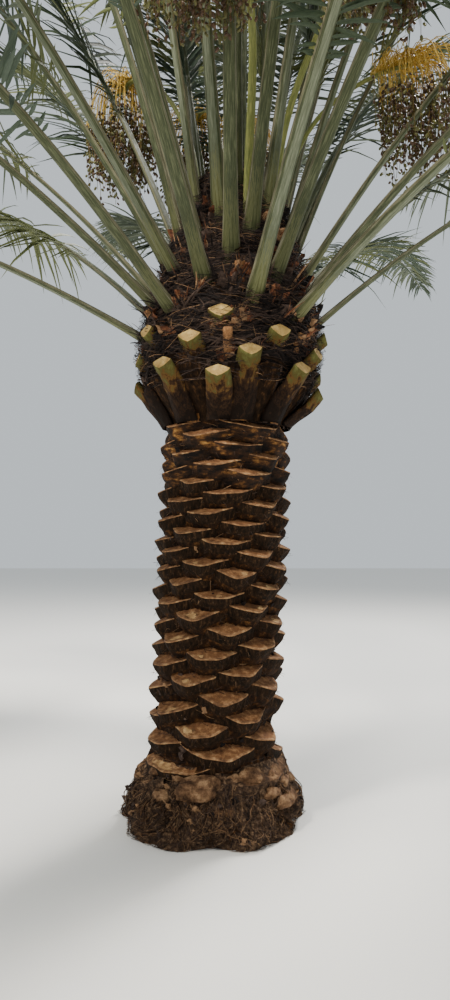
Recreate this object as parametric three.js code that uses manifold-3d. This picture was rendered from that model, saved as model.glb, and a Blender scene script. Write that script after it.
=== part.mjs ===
// A date palm: a leaning trunk clad in cut leaf bases, a flared head of fibre and cut stalks,
// a crown of arching feather fronds, and fruit bunches hanging between them.
// Millimetres, +Z up. The origin is the middle of the flat cut at ground level, and the front of
// the tree faces -Y. Every leaf the palm ever grew sits on one spiral: leaf 0 is the oldest cut
// base at the foot, then come the cut stalks of the head, and the last leaf is the newest spear.
import * as THREE from "three";
import { mergeVertices } from "three/addons/utils/BufferGeometryUtils.js";
import Module from "manifold-3d";

const wasm = await Module();
wasm.setup();
const { Vector3 } = THREE;
const radians = THREE.MathUtils.degToRad;
const mix = THREE.MathUtils.lerp;

// The spiral of leaves
const LEAF_TURN = 137.35; // degrees from one leaf to the next, anticlockwise going up
const FIRST_AZIMUTH = 186.5; // degrees from +X, of leaf 0
const HEAD_TWIST = 5; // degrees that the spiral falls behind across the cut stalks
const TRUNK_LEAVES = 127; // cut close to the stem
const STALK_LEAVES = 25; // cut a hand's length out, round the head
const FRONDS = 42;
const FIRST_STALK = TRUNK_LEAVES;
const FIRST_FROND = TRUNK_LEAVES + STALK_LEAVES;

// The trunk
const TRUNK_TOP = 2000; // where the head's flare begins
const LEAN = 2.2; // degrees towards +X
const FIRST_RIM = 237; // height of the lowest leaf base's rim
const LEAF_RISE = 10.9; // from one leaf to the next on the upper trunk
const FOOT_STRETCH = 359; // how much further the oldest leaves stand apart in all
const FOOT_FADE = 26; // leaves over which that fades
const FOOT_TURNS = { 3: -17, 6: -13, 9: -20, 14: -12 }; // degrees that some old bases sit off it
const STEM_PROFILE = [
  [0, 440], [70, 436], [160, 408], [250, 360], [335, 303], [430, 268],
  [1100, 258], [TRUNK_TOP, 268],
]; // height and radius: root boss, then the stem under the leaf bases
const ROOT_LUMP = 26; // how far the burrs of the root boss stand out
const STEM_SIDES = 14;
const SLIVER = 0.05; // ridges and steps finer than this are smoothed away

// A cut leaf base: a lens of wood that faces up and out, on a shell that tapers down to the stem
const RIM_RADII = [352, 340]; // at the ground and at the trunk's top
const LEAST_REACH = 38; // of a rim from the root boss, where that is wider
const BASE_HALF_ANGLE = 30; // degrees round the stem, either side
const BASE_TILT = 28; // degrees that the cut slopes down outwards
const BASE_DEPTH = 190; // height of the shell under its rim
const BASE_ROOT = 110; // how deep in the stem it ends
const RIM_POINTS = 4;

// The head
const HEAD_CLEARANCE = 0.35; // between pieces that touch
const HEAD_PROFILE = [
  [TRUNK_TOP, 292], [2090, 352], [2200, 425], [2330, 458], [2450, 455], [2560, 432],
  [2680, 398], [2820, 350], [2980, 300], [3130, 258], [3250, 212], [3340, 140],
];
const HEAD_TOP = 3385;
const HEAD_SIDES = 18;
const FIBRE_LUMP = 13;

// A cut stalk of the head
const FIRST_STALK_TOP = 2165; // height of the lowest stalk's cut end
const STALK_RISE = 13;
const STALK_REACH = 492; // from the trunk's line to a stalk's cut end
const STALK_LENGTH = 350;
const STALK_WIDTH = 128;
const STALK_FLARE = 1.45; // how much wider it is down in the fibre
const STALK_THICKNESS = 66;
const STALK_LEAN = [40, 52]; // degrees from upright, lowest and highest stalk

// A frond
const FIRST_FROND_RISE = 2455; // height where the lowest frond leaves the fibre
const FROND_RISE = 17;
const FROND_LENGTH = 4000;
const YOUNGEST_SHARE = 0.72; // the newest frond's length, of a grown one's
const FROND_LEAN = [57, 3]; // degrees from upright at the base, oldest and newest
const FROND_BEND = [54, 8]; // degrees that the frond bows over by its tip
const FROND_SWAY = 9; // degrees that a frond may turn sideways by its tip
const FROND_TWIST = 26; // degrees that a blade may turn about its rib by its tip
const FROND_ROOT = 190; // length of stalk inside the fibre, before it is cut clear
const RIB_WIDTH = 64; // added to the tip's width at the base
const TIP_WIDTH = 7;
const RIB_FLARE = 24; // added just outside the fibre
const BARE_LENGTH = 1150; // leafless stalk, as its spines are trimmed off
const LEAFLETS = 12; // on each side, each standing for a spray of them
const LEAFLET_LENGTH = 450;
const LEAFLET_ANGLES = [62, 27]; // degrees from the rib, first and last leaflet
const SPEARS = 5; // the newest fronds, still closed
const CLEAR = 2; // between pieces that cross

// Fruit
const BUNCHES = [
  // The frond whose axil a bunch grows from, its stalk's length and lean from upright, how far
  // over that frond's rib it starts, and degrees round the trunk and sideways to its way out
  { frond: 34, length: 1200, lean: 2, rise: 60, turn: -18, sway: -25 },
  { frond: 36, length: 1400, lean: 2, rise: 60, turn: 18, sway: -50 },
  { frond: 28, length: 1350, lean: 2, rise: 85, turn: -3, sway: -50 },
  { frond: 32, length: 1400, lean: 2, rise: 190, turn: -10, sway: 0 },
  { frond: 35, length: 1300, lean: 2, rise: 190, turn: -12, sway: -50 },
  { frond: 37, length: 1250, lean: 6, rise: 190, turn: 14, sway: -25 },
];
const BUNCH_BEND = 80; // degrees that a stalk bows over by its tip
const BUNCH_STALK_WIDTH = 36;
const KNOT_LENGTH = 46; // where the strands part
const STRANDS = 6; // each standing for a lock of them
const STRAND_LENGTH = 620;
const STRAND_SPREAD = 190; // from the middle of the bunch to its outer strands
const FRUIT_RADIUS = 30; // of a strand where its dates hang

const MATERIALS = {
  trunk: material(0x5b4230, 0.95),
  head: material(0x2c1d14, 1),
  frond: material(0x5f7150, 0.6),
  fruitStalk: material(0xb98a2c, 0.6),
  fruit: material(0x4a3320, 0.5),
};

function material(color, roughness) {
  return new THREE.MeshStandardMaterial({ color, roughness, metalness: 0 });
}

// A repeatable number from -1 to 1 for leaf n, a different one for each trait.
function vary(n, trait) {
  const x = Math.sin(n * 12.9898 + trait * 78.233) * 43758.5453;
  return 2 * (x - Math.floor(x)) - 1;
}

// The value at x of a line through [x, value] points.
function along(profile, x) {
  const next = profile.findIndex(([at]) => at >= x);
  if (next < 1) return profile[next < 0 ? profile.length - 1 : 0][1];
  const [[x0, a], [x1, b]] = profile.slice(next - 1, next + 1);
  return mix(a, b, (x - x0) / (x1 - x0));
}

function azimuthOf(leaf) {
  const twist = HEAD_TWIST * THREE.MathUtils.clamp((leaf - FIRST_STALK) / STALK_LEAVES, 0, 1);
  const offset = FOOT_TURNS[leaf] ?? 0;
  return radians(FIRST_AZIMUTH + LEAF_TURN * leaf + offset - twist);
}

function outward(azimuth) {
  return new Vector3(Math.cos(azimuth), Math.sin(azimuth), 0);
}

// A point at a height, that far from the leaning line of the trunk.
function trunkPoint(azimuth, radius, z) {
  return outward(azimuth).multiplyScalar(radius).add(new Vector3(z * Math.tan(radians(LEAN)), 0, z));
}

// Solids from geometries, and back

function solidOf(geometry) {
  const bare = geometry.clone();
  bare.deleteAttribute("normal");
  bare.deleteAttribute("uv");
  const merged = mergeVertices(bare, 1e-3);
  return new wasm.Manifold(
    new wasm.Mesh({
      numProp: 3,
      vertProperties: merged.attributes.position.array,
      triVerts: new Uint32Array(merged.index.array),
    }),
  );
}

function geometryOf(solid) {
  const mesh = solid.getMesh();
  const geometry = new THREE.BufferGeometry();
  geometry.setAttribute("position", new THREE.BufferAttribute(mesh.vertProperties, 3));
  geometry.setIndex(new THREE.BufferAttribute(mesh.triVerts, 1));
  return geometry;
}

function geometryFrom(points, triangles) {
  const geometry = new THREE.BufferGeometry().setFromPoints(points);
  return geometry.setIndex(triangles.flat());
}

// The biggest body of a solid, without scraps and without any hollow sealed in it.
function largestBody(solid) {
  const bodies = solid.decompose();
  return bodies.reduce((best, body) => (body.volume() > best.volume() ? body : best));
}

// A stem of rings, each anticlockwise seen from its far side. Rings may end in one point, and
// tips[k][side] draws the face between rings k and k + 1 on that side out to a point.
function stem(rings, tip = null, tips = []) {
  const sides = rings[0].length;
  const points = rings.flat();
  const triangles = [];
  const addPoint = (point) => points.push(point) - 1;
  for (let k = 0; k + 1 < rings.length; k++) {
    for (let side = 0; side < sides; side++) {
      const next = (side + 1) % sides;
      const corners = [side, next, next + sides, side + sides].map((i) => i + k * sides);
      if (tips[k]?.[side]) {
        const far = addPoint(tips[k][side]);
        corners.forEach((corner, i) => triangles.push([corner, corners[(i + 1) % 4], far]));
      } else {
        const [a, b, c, d] = corners;
        triangles.push([a, b, c], [a, c, d]);
      }
    }
  }
  const last = (rings.length - 1) * sides;
  const far = tip && addPoint(tip);
  for (let side = 1; side + 1 < sides; side++) triangles.push([0, side + 1, side]);
  for (let side = 0; side < sides; side++) {
    if (tip) triangles.push([last + side, last + ((side + 1) % sides), far]);
    else if (side > 0 && side + 1 < sides) triangles.push([last, last + side, last + side + 1]);
  }
  return geometryFrom(points, triangles);
}

// A body turned on the trunk's line, with its surface pushed out by bump(azimuth, z).
function turned(profile, top, sides, bump, extra = 0) {
  const outline = [
    new THREE.Vector2(0, profile[0][0]),
    ...profile.map(([z, radius]) => new THREE.Vector2(radius + extra, z)),
    new THREE.Vector2(0, top + extra),
  ];
  const geometry = new THREE.LatheGeometry(outline, sides).rotateX(Math.PI / 2);
  const position = geometry.attributes.position;
  for (let i = 0; i < position.count; i++) {
    const [x, y, z] = [position.getX(i), position.getY(i), position.getZ(i)];
    const radius = Math.hypot(x, y);
    const azimuth = Math.atan2(y, x);
    const pushed = radius < 1 ? 0 : radius + bump(azimuth, z);
    const { x: px, y: py } = trunkPoint(azimuth, pushed, z);
    position.setXYZ(i, px, py, z);
  }
  return solidOf(geometry);
}

// The trunk

function rimHeight(leaf) {
  return FIRST_RIM + LEAF_RISE * leaf + FOOT_STRETCH * (1 - Math.exp(-leaf / FOOT_FADE));
}

function rootBump(azimuth, z) {
  const fade = Math.max(0, 1 - z / 400);
  const waves = Math.sin(5 * azimuth + z / 70) + 0.7 * Math.sin(9 * azimuth - z / 45);
  return ROOT_LUMP * fade * waves;
}

function leafBase(leaf) {
  const azimuth = azimuthOf(leaf);
  const z = rimHeight(leaf) + 4 * vary(leaf, 1);
  const stemRadius = along(STEM_PROFILE, Math.min(z, TRUNK_TOP)) - 6;
  const rim = mix(...RIM_RADII, z / TRUNK_TOP) * (1 + 0.03 * vary(leaf, 2));
  const reach = Math.max(LEAST_REACH, rim - stemRadius);
  const half = radians(BASE_HALF_ANGLE * (1 + 0.1 * vary(leaf, 3)));
  const tilt = Math.tan(radians(BASE_TILT + 5 * vary(leaf, 4)));
  const points = [];
  for (let i = 0; i < RIM_POINTS; i++) {
    const share = (2 * i) / (RIM_POINTS - 1) - 1;
    const out = reach * (1 - share * share);
    points.push(trunkPoint(azimuth + half * share, stemRadius + out, z + (reach - out) * tilt));
  }
  const root = points.push(trunkPoint(azimuth, stemRadius - BASE_ROOT, z - BASE_DEPTH)) - 1;
  const last = RIM_POINTS - 1;
  const triangles = [[last, root, 0]];
  for (let i = 0; i < last; i++) triangles.push([i, root, i + 1]);
  for (let i = 1; i < last; i++) triangles.push([0, i, i + 1]);
  return solidOf(geometryFrom(points, triangles));
}

function trunk() {
  let solid = turned(STEM_PROFILE, TRUNK_TOP, STEM_SIDES, rootBump);
  for (let leaf = 0; leaf < TRUNK_LEAVES; leaf++) solid = solid.add(leafBase(leaf));
  return solid.trimByPlane([0, 0, -1], -TRUNK_TOP).trimByPlane([0, 0, 1], 0);
}

// The five corners of a stalk's section: a flat top, short sides and a keel below.
function stalkRing(point, side, up, width, thickness) {
  const corner = (across, rise) =>
    point.clone().addScaledVector(side, across * width).addScaledVector(up, rise * thickness);
  return [corner(0.5, 0.4), corner(-0.5, 0.4), corner(-0.5, 0), corner(0, -0.6), corner(0.5, 0)];
}

// The head

function fibreBump(azimuth, z) {
  const fade = THREE.MathUtils.clamp((z - TRUNK_TOP) / 150, 0, 1);
  const waves = Math.sin(7 * azimuth + z / 55) + Math.sin(4 * azimuth - z / 90);
  return FIBRE_LUMP * fade * waves;
}

function stalkTop(leaf) {
  const nth = leaf - FIRST_STALK;
  const z = FIRST_STALK_TOP + STALK_RISE * nth + 10 * vary(leaf, 5);
  return { nth, z, reach: STALK_REACH * (1 + 0.03 * vary(leaf, 6)) };
}

function cutStalk(leaf, extra) {
  const azimuth = azimuthOf(leaf);
  const { nth, z, reach } = stalkTop(leaf);
  const lean = radians(mix(...STALK_LEAN, nth / STALK_LEAVES));
  const top = trunkPoint(azimuth, reach, z);
  const line = outward(azimuth).multiplyScalar(Math.sin(lean)).setZ(Math.cos(lean));
  const side = outward(azimuth + Math.PI / 2);
  const up = side.clone().cross(line).negate();
  const rings = [STALK_LENGTH, -extra].map((back) => {
    const point = top.clone().addScaledVector(line, -back);
    const width = STALK_WIDTH * (back > 0 ? STALK_FLARE : 1) + 2 * extra;
    return stalkRing(point, side, up, width, STALK_THICKNESS + 2 * extra);
  });
  return solidOf(stem(rings));
}

function head(extra = 0) {
  let solid = turned(HEAD_PROFILE, HEAD_TOP, HEAD_SIDES, fibreBump, extra);
  for (let leaf = FIRST_STALK; leaf < FIRST_FROND; leaf++) solid = solid.add(cutStalk(leaf, extra));
  return solid.trimByPlane([0, 0, 1], TRUNK_TOP + HEAD_CLEARANCE - extra);
}

// The line of a stalk that bows over: points every so often, with the way it runs, the way across
// it and the way up from it at each. Lengths before 0 run straight back into the fibre.
function bowedLine({ start, azimuth, lean, bend, sway = 0, twist = 0, length, stations }) {
  const STEPS = 80;
  const frameAt = (share) => {
    const eased = Math.max(0, share);
    const angle = lean + bend * eased ** 1.35;
    const heading = azimuth + sway * eased ** 2;
    const line = outward(heading).multiplyScalar(Math.sin(angle)).setZ(Math.cos(angle));
    const turn = twist * eased ** 1.5;
    const side = outward(heading + Math.PI / 2).applyAxisAngle(line, turn);
    return { line, side, up: line.clone().cross(side) };
  };
  const path = [start.clone()];
  for (let i = 0; i < STEPS; i++) {
    const { line } = frameAt((i + 0.5) / STEPS);
    path.push(path[i].clone().addScaledVector(line, length / STEPS));
  }
  return stations.map((at) => {
    const frame = frameAt(at / length);
    const step = THREE.MathUtils.clamp((at / length) * STEPS, 0, STEPS - 1e-6);
    const index = Math.floor(step);
    const point = path[index].clone().lerp(path[index + 1], step - index);
    if (at < 0) point.addScaledVector(frame.line, at);
    return { at, point, ...frame };
  });
}

// The fronds

function frondShape(leaf) {
  const nth = leaf - FIRST_FROND;
  const age = nth / (FRONDS - 1); // 0 for the oldest, 1 for the newest
  const z = FIRST_FROND_RISE + FROND_RISE * nth + 6 * vary(leaf, 7);
  const azimuth = azimuthOf(leaf) + radians(3 * vary(leaf, 8));
  const length = FROND_LENGTH * mix(1, YOUNGEST_SHARE, age ** 4) * (1 + 0.05 * vary(leaf, 9));
  const newest = Math.max(0, nth - (FRONDS - 1 - SPEARS)) / SPEARS;
  return {
    z,
    start: trunkPoint(azimuth, along(HEAD_PROFILE, z) - 12, z),
    azimuth,
    lean: radians(mix(...FROND_LEAN, age ** 0.92) + 2.5 * vary(leaf, 10)),
    bend: radians(mix(...FROND_BEND, age) * (1 + 0.15 * vary(leaf, 11))),
    sway: radians(FROND_SWAY * vary(leaf, 12) * (1 - age)),
    twist: radians(FROND_TWIST * vary(leaf, 13)),
    length,
    bare: BARE_LENGTH * (length / FROND_LENGTH) * (1 + 0.06 * vary(leaf, 14)),
    openness: 1 - 0.75 * newest,
    slimness: 1 - 0.35 * newest,
  };
}

function ribWidth(shape, at) {
  const left = Math.max(0, 1 - Math.max(0, at) / shape.length);
  const flare = RIB_FLARE * Math.exp(-Math.max(0, at) / 150);
  return (RIB_WIDTH * left + TIP_WIDTH + flare) * shape.slimness;
}

function ribThickness(shape, at) {
  return 5 + 0.46 * ribWidth(shape, at);
}

function frondRib(leaf) {
  const shape = frondShape(leaf);
  const { bare, length } = shape;
  const stations = [-FROND_ROOT, 0.3 * bare, 0.65 * bare];
  for (let i = 0; i <= LEAFLETS; i++) stations.push(mix(bare, 0.985 * length, i / LEAFLETS));
  const line = bowedLine({ ...shape, stations });
  const rings = line.map(({ at, point, side, up }) =>
    stalkRing(point, side, up, ribWidth(shape, at), ribThickness(shape, at)),
  );
  const [end] = bowedLine({ ...shape, stations: [length] });
  return { leaf, shape, line, rings, end: end.point };
}

// Where the leaflet of a rib's face between two rings ends, on side 1 or -1, at a share of its
// full length.
function leafletTip({ leaf, shape, line }, nth, hand, share) {
  const first = line.length - 1 - LEAFLETS;
  const a = line[first + nth];
  const b = line[first + nth + 1];
  const along = (nth + 0.5) / LEAFLETS;
  const angle = radians(mix(...LEAFLET_ANGLES, along)) * shape.openness;
  const rise = radians(14 + 20 * vary(leaf * 37 + nth * 2 + hand, 15)) * shape.openness;
  const length = LEAFLET_LENGTH * (1 - 0.42 * (2 * along - 0.8) ** 2) * share;
  const across = a.side.clone().multiplyScalar(hand * Math.cos(rise)).addScaledVector(a.up, Math.sin(rise));
  return a.point
    .clone()
    .lerp(b.point, 0.5)
    .addScaledVector(across, length * Math.sin(angle))
    .addScaledVector(b.line, length * Math.cos(angle));
}

// The leaflet as a solid of its own, to see what it would touch.
function leafletSolid({ rings, line }, nth, hand, tip) {
  const k = line.length - 1 - LEAFLETS + nth;
  const [from, to] = hand > 0 ? [4, 0] : [1, 2];
  const corners = [rings[k][from], rings[k][to], rings[k + 1][to], rings[k + 1][from]];
  const middle = corners.reduce((sum, c) => sum.add(c), new Vector3()).divideScalar(4);
  const root = corners.map((corner) => corner.clone().lerp(middle, 0.02));
  return solidOf(stem([root], tip));
}

// The fruit bunches

function bunchStalk({ frond, length, lean, rise, turn, sway }) {
  const axil = frondShape(FIRST_FROND + frond - 1);
  const azimuth = axil.azimuth + radians(turn);
  const z = axil.z + rise;
  const start = trunkPoint(azimuth, along(HEAD_PROFILE, z) - 10, z);
  const shape = { start, azimuth, lean: radians(lean), bend: radians(BUNCH_BEND), sway: radians(sway), length };
  const stations = [-90, 0.22, 0.42, 0.6, 0.76, 0.89, 1].map((at) => (at < 0 ? at : at * length));
  const line = bowedLine({ ...shape, stations });
  const rings = line.map(({ at, point, side, up }) => {
    const width = BUNCH_STALK_WIDTH * (1.35 - 0.5 * Math.max(0, at / length));
    return stalkRing(point, side, up, width, 0.6 * width);
  });
  // The knot where the strands part carries the stalk on past a thin gap.
  const { line: onward } = line.at(-1);
  const knot = [HEAD_CLEARANCE, KNOT_LENGTH].map((at) =>
    rings.at(-1).map((corner) => corner.clone().addScaledVector(onward, at)),
  );
  const from = line.at(-1).point.clone().addScaledVector(onward, 0.6 * KNOT_LENGTH);
  return { stalk: solidOf(stem(rings)), knot: solidOf(stem(knot)), from, onward };
}

function strand(bunch, nth, from, line, share) {
  const turn = (nth / (STRANDS - 1)) * 2 * Math.PI;
  const middle = nth === STRANDS - 1;
  const spread = middle ? 0 : share * STRAND_SPREAD * (1 + 0.18 * vary(bunch * 19 + nth, 16));
  const length = STRAND_LENGTH * (1 + 0.12 * vary(bunch * 19 + nth, 17));
  const out = new Vector3(Math.cos(turn), Math.sin(turn), 0);
  const curve = new THREE.CatmullRomCurve3([
    from.clone(),
    from.clone().addScaledVector(line, 0.2 * length).addScaledVector(out, 0.35 * spread),
    from.clone().addScaledVector(line, 0.3 * length).addScaledVector(out, 0.95 * spread).setZ(from.z - 0.42 * length),
    from.clone().addScaledVector(line, 0.3 * length).addScaledVector(out, spread).setZ(from.z - length),
  ]);
  const radii = [5, 10, FRUIT_RADIUS, 0.9 * FRUIT_RADIUS];
  const rings = radii.map((radius, i) => {
    const at = (i / radii.length) * 0.98;
    const tangent = curve.getTangentAt(at);
    const side = new Vector3(1, 0, 0).cross(tangent).normalize();
    const up = tangent.clone().cross(side);
    const point = curve.getPointAt(at);
    return [0, 1, 2, 3].map((corner) => {
      const angle = (corner / 4) * 2 * Math.PI + i * 0.5;
      return point
        .clone()
        .addScaledVector(side, radius * Math.cos(angle))
        .addScaledVector(up, radius * Math.sin(angle));
    });
  });
  return solidOf(stem(rings, curve.getPointAt(1)));
}

function bunchStrands(bunch, { knot, from, onward }) {
  let solid = knot;
  for (let nth = 0; nth < STRANDS; nth++) {
    const spreads = [1, 0.8, 0.6].map((share) => strand(bunch, nth, from, onward, share));
    const free = spreads.find((choice) => isClear(choice, bunch));
    if (free) solid = solid.add(free);
  }
  return solid;
}

// What stands in the crown, to keep leaflets clear of

function boxesMeet(a, b) {
  return [0, 1, 2].every((i) => a.min[i] <= b.max[i] + CLEAR && b.min[i] <= a.max[i] + CLEAR);
}

const standing = [];

function isClear(solid, owner) {
  const box = solid.boundingBox();
  return standing.every(
    (other) =>
      other.owner === owner || !boxesMeet(box, other.box) || solid.minGap(other.solid, CLEAR) >= CLEAR,
  );
}

function stand(owner, solid) {
  standing.push({ owner, solid, box: solid.boundingBox() });
}

// The palm

const palm = new THREE.Group();

function addNode(name, solid, finish) {
  const whole = largestBody(solidOf(geometryOf(solid.simplify(SLIVER))));
  const mesh = new THREE.Mesh(geometryOf(whole), finish);
  mesh.name = name;
  palm.add(mesh);
}

const twoDigits = (n) => String(n).padStart(2, "0");

addNode("trunk", trunk(), MATERIALS.trunk);
addNode("crown_head", head(), MATERIALS.head);

const clearOfHead = head(HEAD_CLEARANCE);
const ribs = [];
for (let leaf = FIRST_FROND; leaf < FIRST_FROND + FRONDS; leaf++) {
  const rib = frondRib(leaf);
  ribs.push(rib);
  stand(leaf, solidOf(stem(rib.rings, rib.end)).subtract(clearOfHead));
}

BUNCHES.forEach((bunch, index) => {
  const parts = bunchStalk(bunch);
  const stalk = parts.stalk.subtract(clearOfHead);
  const strands = bunchStrands(index, parts);
  addNode(`fruit_stalk_${index + 1}`, stalk, MATERIALS.fruitStalk);
  addNode(`fruit_bunch_${index + 1}`, strands, MATERIALS.fruit);
  stand(index, stalk);
  stand(index, strands);
});

for (const rib of ribs) {
  const tips = [];
  for (let nth = 0; nth < LEAFLETS; nth++) {
    const k = rib.line.length - 1 - LEAFLETS + nth;
    tips[k] = {};
    for (const hand of [1, -1]) {
      for (const share of [1, 0.72, 0.45]) {
        const tip = leafletTip(rib, nth, hand, share);
        const leaflet = leafletSolid(rib, nth, hand, tip);
        if (!isClear(leaflet, rib.leaf)) continue;
        tips[k][hand > 0 ? 4 : 1] = tip;
        stand(rib.leaf, leaflet);
        break;
      }
    }
  }
  const frond = solidOf(stem(rib.rings, rib.end, tips)).subtract(clearOfHead);
  addNode(`frond_${twoDigits(rib.leaf - FIRST_FROND + 1)}`, frond, MATERIALS.frond);
}

export default palm;
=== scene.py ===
# The date palm dressed for rendering: bark of cut leaf bases on a lumpy foot, a head of dark
# fibre with cut stalks, feather fronds with folded leaflets, and bunches of dates.
# Metres, +Z up, the same frame and the same rule of growth as the solids: every leaf sits on
# one spiral, counted from the oldest cut base at the foot to the newest spear.
import math

import bpy
import numpy as np
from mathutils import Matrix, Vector, noise


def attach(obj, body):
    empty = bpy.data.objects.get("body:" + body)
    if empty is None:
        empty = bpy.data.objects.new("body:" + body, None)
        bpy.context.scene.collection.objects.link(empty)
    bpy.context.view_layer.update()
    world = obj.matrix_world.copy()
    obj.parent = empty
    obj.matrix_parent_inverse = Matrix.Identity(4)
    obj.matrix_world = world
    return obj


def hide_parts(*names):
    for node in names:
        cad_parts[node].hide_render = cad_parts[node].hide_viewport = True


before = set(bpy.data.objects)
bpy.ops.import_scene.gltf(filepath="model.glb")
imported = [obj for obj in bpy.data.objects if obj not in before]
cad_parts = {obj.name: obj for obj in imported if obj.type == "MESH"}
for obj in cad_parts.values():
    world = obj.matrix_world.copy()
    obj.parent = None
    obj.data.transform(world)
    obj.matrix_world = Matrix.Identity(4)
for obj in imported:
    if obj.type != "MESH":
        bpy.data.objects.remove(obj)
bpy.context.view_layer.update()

# The spiral of leaves
LEAF_TURN = 137.35  # degrees from one leaf to the next
FIRST_AZIMUTH = 186.5
HEAD_TWIST = 5
TRUNK_LEAVES = 127
STALK_LEAVES = 25
FRONDS = 42
FIRST_STALK = TRUNK_LEAVES
FIRST_FROND = TRUNK_LEAVES + STALK_LEAVES

# The trunk
TRUNK_TOP = 2.0
LEAN = 2.2  # degrees towards +X
FIRST_RIM = 0.237
LEAF_RISE = 0.0109
FOOT_STRETCH = 0.359
FOOT_FADE = 26
FOOT_HEIGHT = 0.4  # up to which the root boss stands out
MAT_HEIGHT = 0.33  # up to which roots cover the stem
FOOT_TURNS = {3: -17, 6: -13, 9: -20, 14: -12}  # degrees that some old bases sit off the spiral
STEM_PROFILE = [
    (0, 0.44), (0.07, 0.436), (0.16, 0.408), (0.25, 0.36), (0.335, 0.303), (0.43, 0.268),
    (1.1, 0.258), (TRUNK_TOP, 0.268),
]
ROOT_LUMP = 0.026
ROOT_LIMIT = 0.462  # no root reaches further out
RIM_RADII = (0.352, 0.34)  # of the leaf bases' rims, at the foot and at the top
LEAST_REACH = 0.038
BASE_HALF_ANGLE = 30
BASE_TILT = 28  # degrees that a cut slants down and out
BASE_LIMIT = TRUNK_TOP + 0.035  # the newest bases end there, under the head

# The head
HEAD_START = TRUNK_TOP - 0.02  # fibre and stalks begin inside the trunk's top
HEAD_PROFILE = [
    (TRUNK_TOP, 0.292), (2.09, 0.352), (2.2, 0.425), (2.33, 0.458), (2.45, 0.455), (2.56, 0.432),
    (2.68, 0.398), (2.82, 0.35), (2.98, 0.3), (3.13, 0.258), (3.25, 0.212), (3.34, 0.14),
    (3.385, 0.02),
]
FIBRE_LUMP = 0.013
FIRST_STALK_TOP = 2.165
STALK_RISE = 0.013
STALK_REACH = 0.492
STALK_WIDTH = 0.128
STALK_THICKNESS = 0.066
STALK_LEAN = (40, 52)  # degrees from upright, oldest to newest

# A frond
FIRST_FROND_RISE = 2.455
FROND_RISE = 0.017
FROND_LENGTH = 4.0
YOUNGEST_SHARE = 0.72  # of that length
FROND_LEAN = (57, 3)  # degrees from upright where it starts, oldest to newest
FROND_BEND = (54, 8)  # degrees that it bows over from there
FROND_SWAY = 9  # degrees to a side, at most
FROND_TWIST = 26
RIB_WIDTH = 0.064
TIP_WIDTH = 0.007
RIB_FLARE = 0.024
BARE_LENGTH = 1.15
LEAFLETS = 118  # on each side of a frond
LEAFLET_LENGTH = 0.5
LEAFLET_WIDTH = 0.026
LEAFLET_ANGLES = (62, 27)  # degrees from the rib, at the first leaflet and at the tip
SPEARS = 5  # newest fronds, which are still closed

# Fruit: the frond whose axil a bunch grows from, its stalk's length and lean, how far over
# that frond's rib it starts, and degrees round the trunk and sideways to its way out
BUNCHES = [
    {"frond": 34, "length": 1.2, "lean": 2, "rise": 0.06, "turn": -18, "sway": -25},
    {"frond": 36, "length": 1.4, "lean": 2, "rise": 0.06, "turn": 18, "sway": -50},
    {"frond": 28, "length": 1.35, "lean": 2, "rise": 0.085, "turn": -3, "sway": -50},
    {"frond": 32, "length": 1.4, "lean": 2, "rise": 0.19, "turn": -10, "sway": 0},
    {"frond": 35, "length": 1.3, "lean": 2, "rise": 0.19, "turn": -12, "sway": -50},
    {"frond": 37, "length": 1.25, "lean": 6, "rise": 0.19, "turn": 14, "sway": -25},
]
BUNCH_BEND = 80  # degrees that its stalk bows over
BUNCH_STALK_WIDTH = 0.036
STRANDS = 140  # in each bunch
STRAND_LENGTH = 0.62
STRAND_SPREAD = 0.21
STRAND_POINTS = 12
DATES_ON_STRAND = 9
RIPE_SHARE = 0.55
DATE_SIZE = (0.0085, 0.013)  # half its width and half its length
KNOT_LENGTH = 0.046  # of the end of a fruit stalk, where the strands part
GREEN_BUNCH = 2  # the bunch, counted from 0, whose strands are still green

# The camera and the ground
FILM_HEIGHT = 36
LENS = 27.04
CAMERA_PLACE = (0.0675, -3.9, 1.38)
CAMERA_PITCH = 93.4
GROUND = 0.001  # small parts reach no lower


# Numbers

UP = np.array([0, 0, 1.0])


def vary(n, trait):
    """A repeatable number from -1 to 1 for leaf n, a different one for each trait."""
    x = np.sin(n * 12.9898 + trait * 78.233) * 43758.5453
    return 2 * (x - np.floor(x)) - 1


def mix(a, b, share):
    return a + (b - a) * share


def along(profile, x):
    """The value at x of a line through (x, value) points."""
    return np.interp(x, [p[0] for p in profile], [p[1] for p in profile])


def outward(azimuth):
    azimuth = np.asarray(azimuth, float)
    return np.stack([np.cos(azimuth), np.sin(azimuth), np.zeros_like(azimuth)], axis=-1)


def trunk_point(azimuth, radius, z):
    """Points at a height, that far from the leaning line of the trunk."""
    azimuth, radius, z = np.broadcast_arrays(azimuth, radius, z)
    point = outward(azimuth) * radius[..., None]
    point[..., 0] += z * math.tan(math.radians(LEAN))
    point[..., 2] = z
    return point


def azimuth_of(leaf):
    twist = HEAD_TWIST * np.clip((leaf - FIRST_STALK) / STALK_LEAVES, 0, 1)
    return np.radians(FIRST_AZIMUTH + LEAF_TURN * leaf + FOOT_TURNS.get(leaf, 0) - twist)


def unit(v):
    return v / np.linalg.norm(v, axis=-1, keepdims=True)


def circle(count):
    """The angles of that many points round a circle."""
    return np.linspace(0, 2 * np.pi, count + 1)[:-1]


def out_and_side(azimuth):
    return outward(azimuth), outward(azimuth + math.pi / 2)


def lumps(points, size, octaves=3):
    """Smooth noise from about -1 to 1 at each point, with lumps of that size."""
    flat = points.reshape(-1, 3) / size
    values = [noise.fractal(Vector(p), 1.0, 2.0, octaves) for p in flat]
    return np.array(values).reshape(points.shape[:-1])


# Meshes gathered from many small shapes

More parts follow.
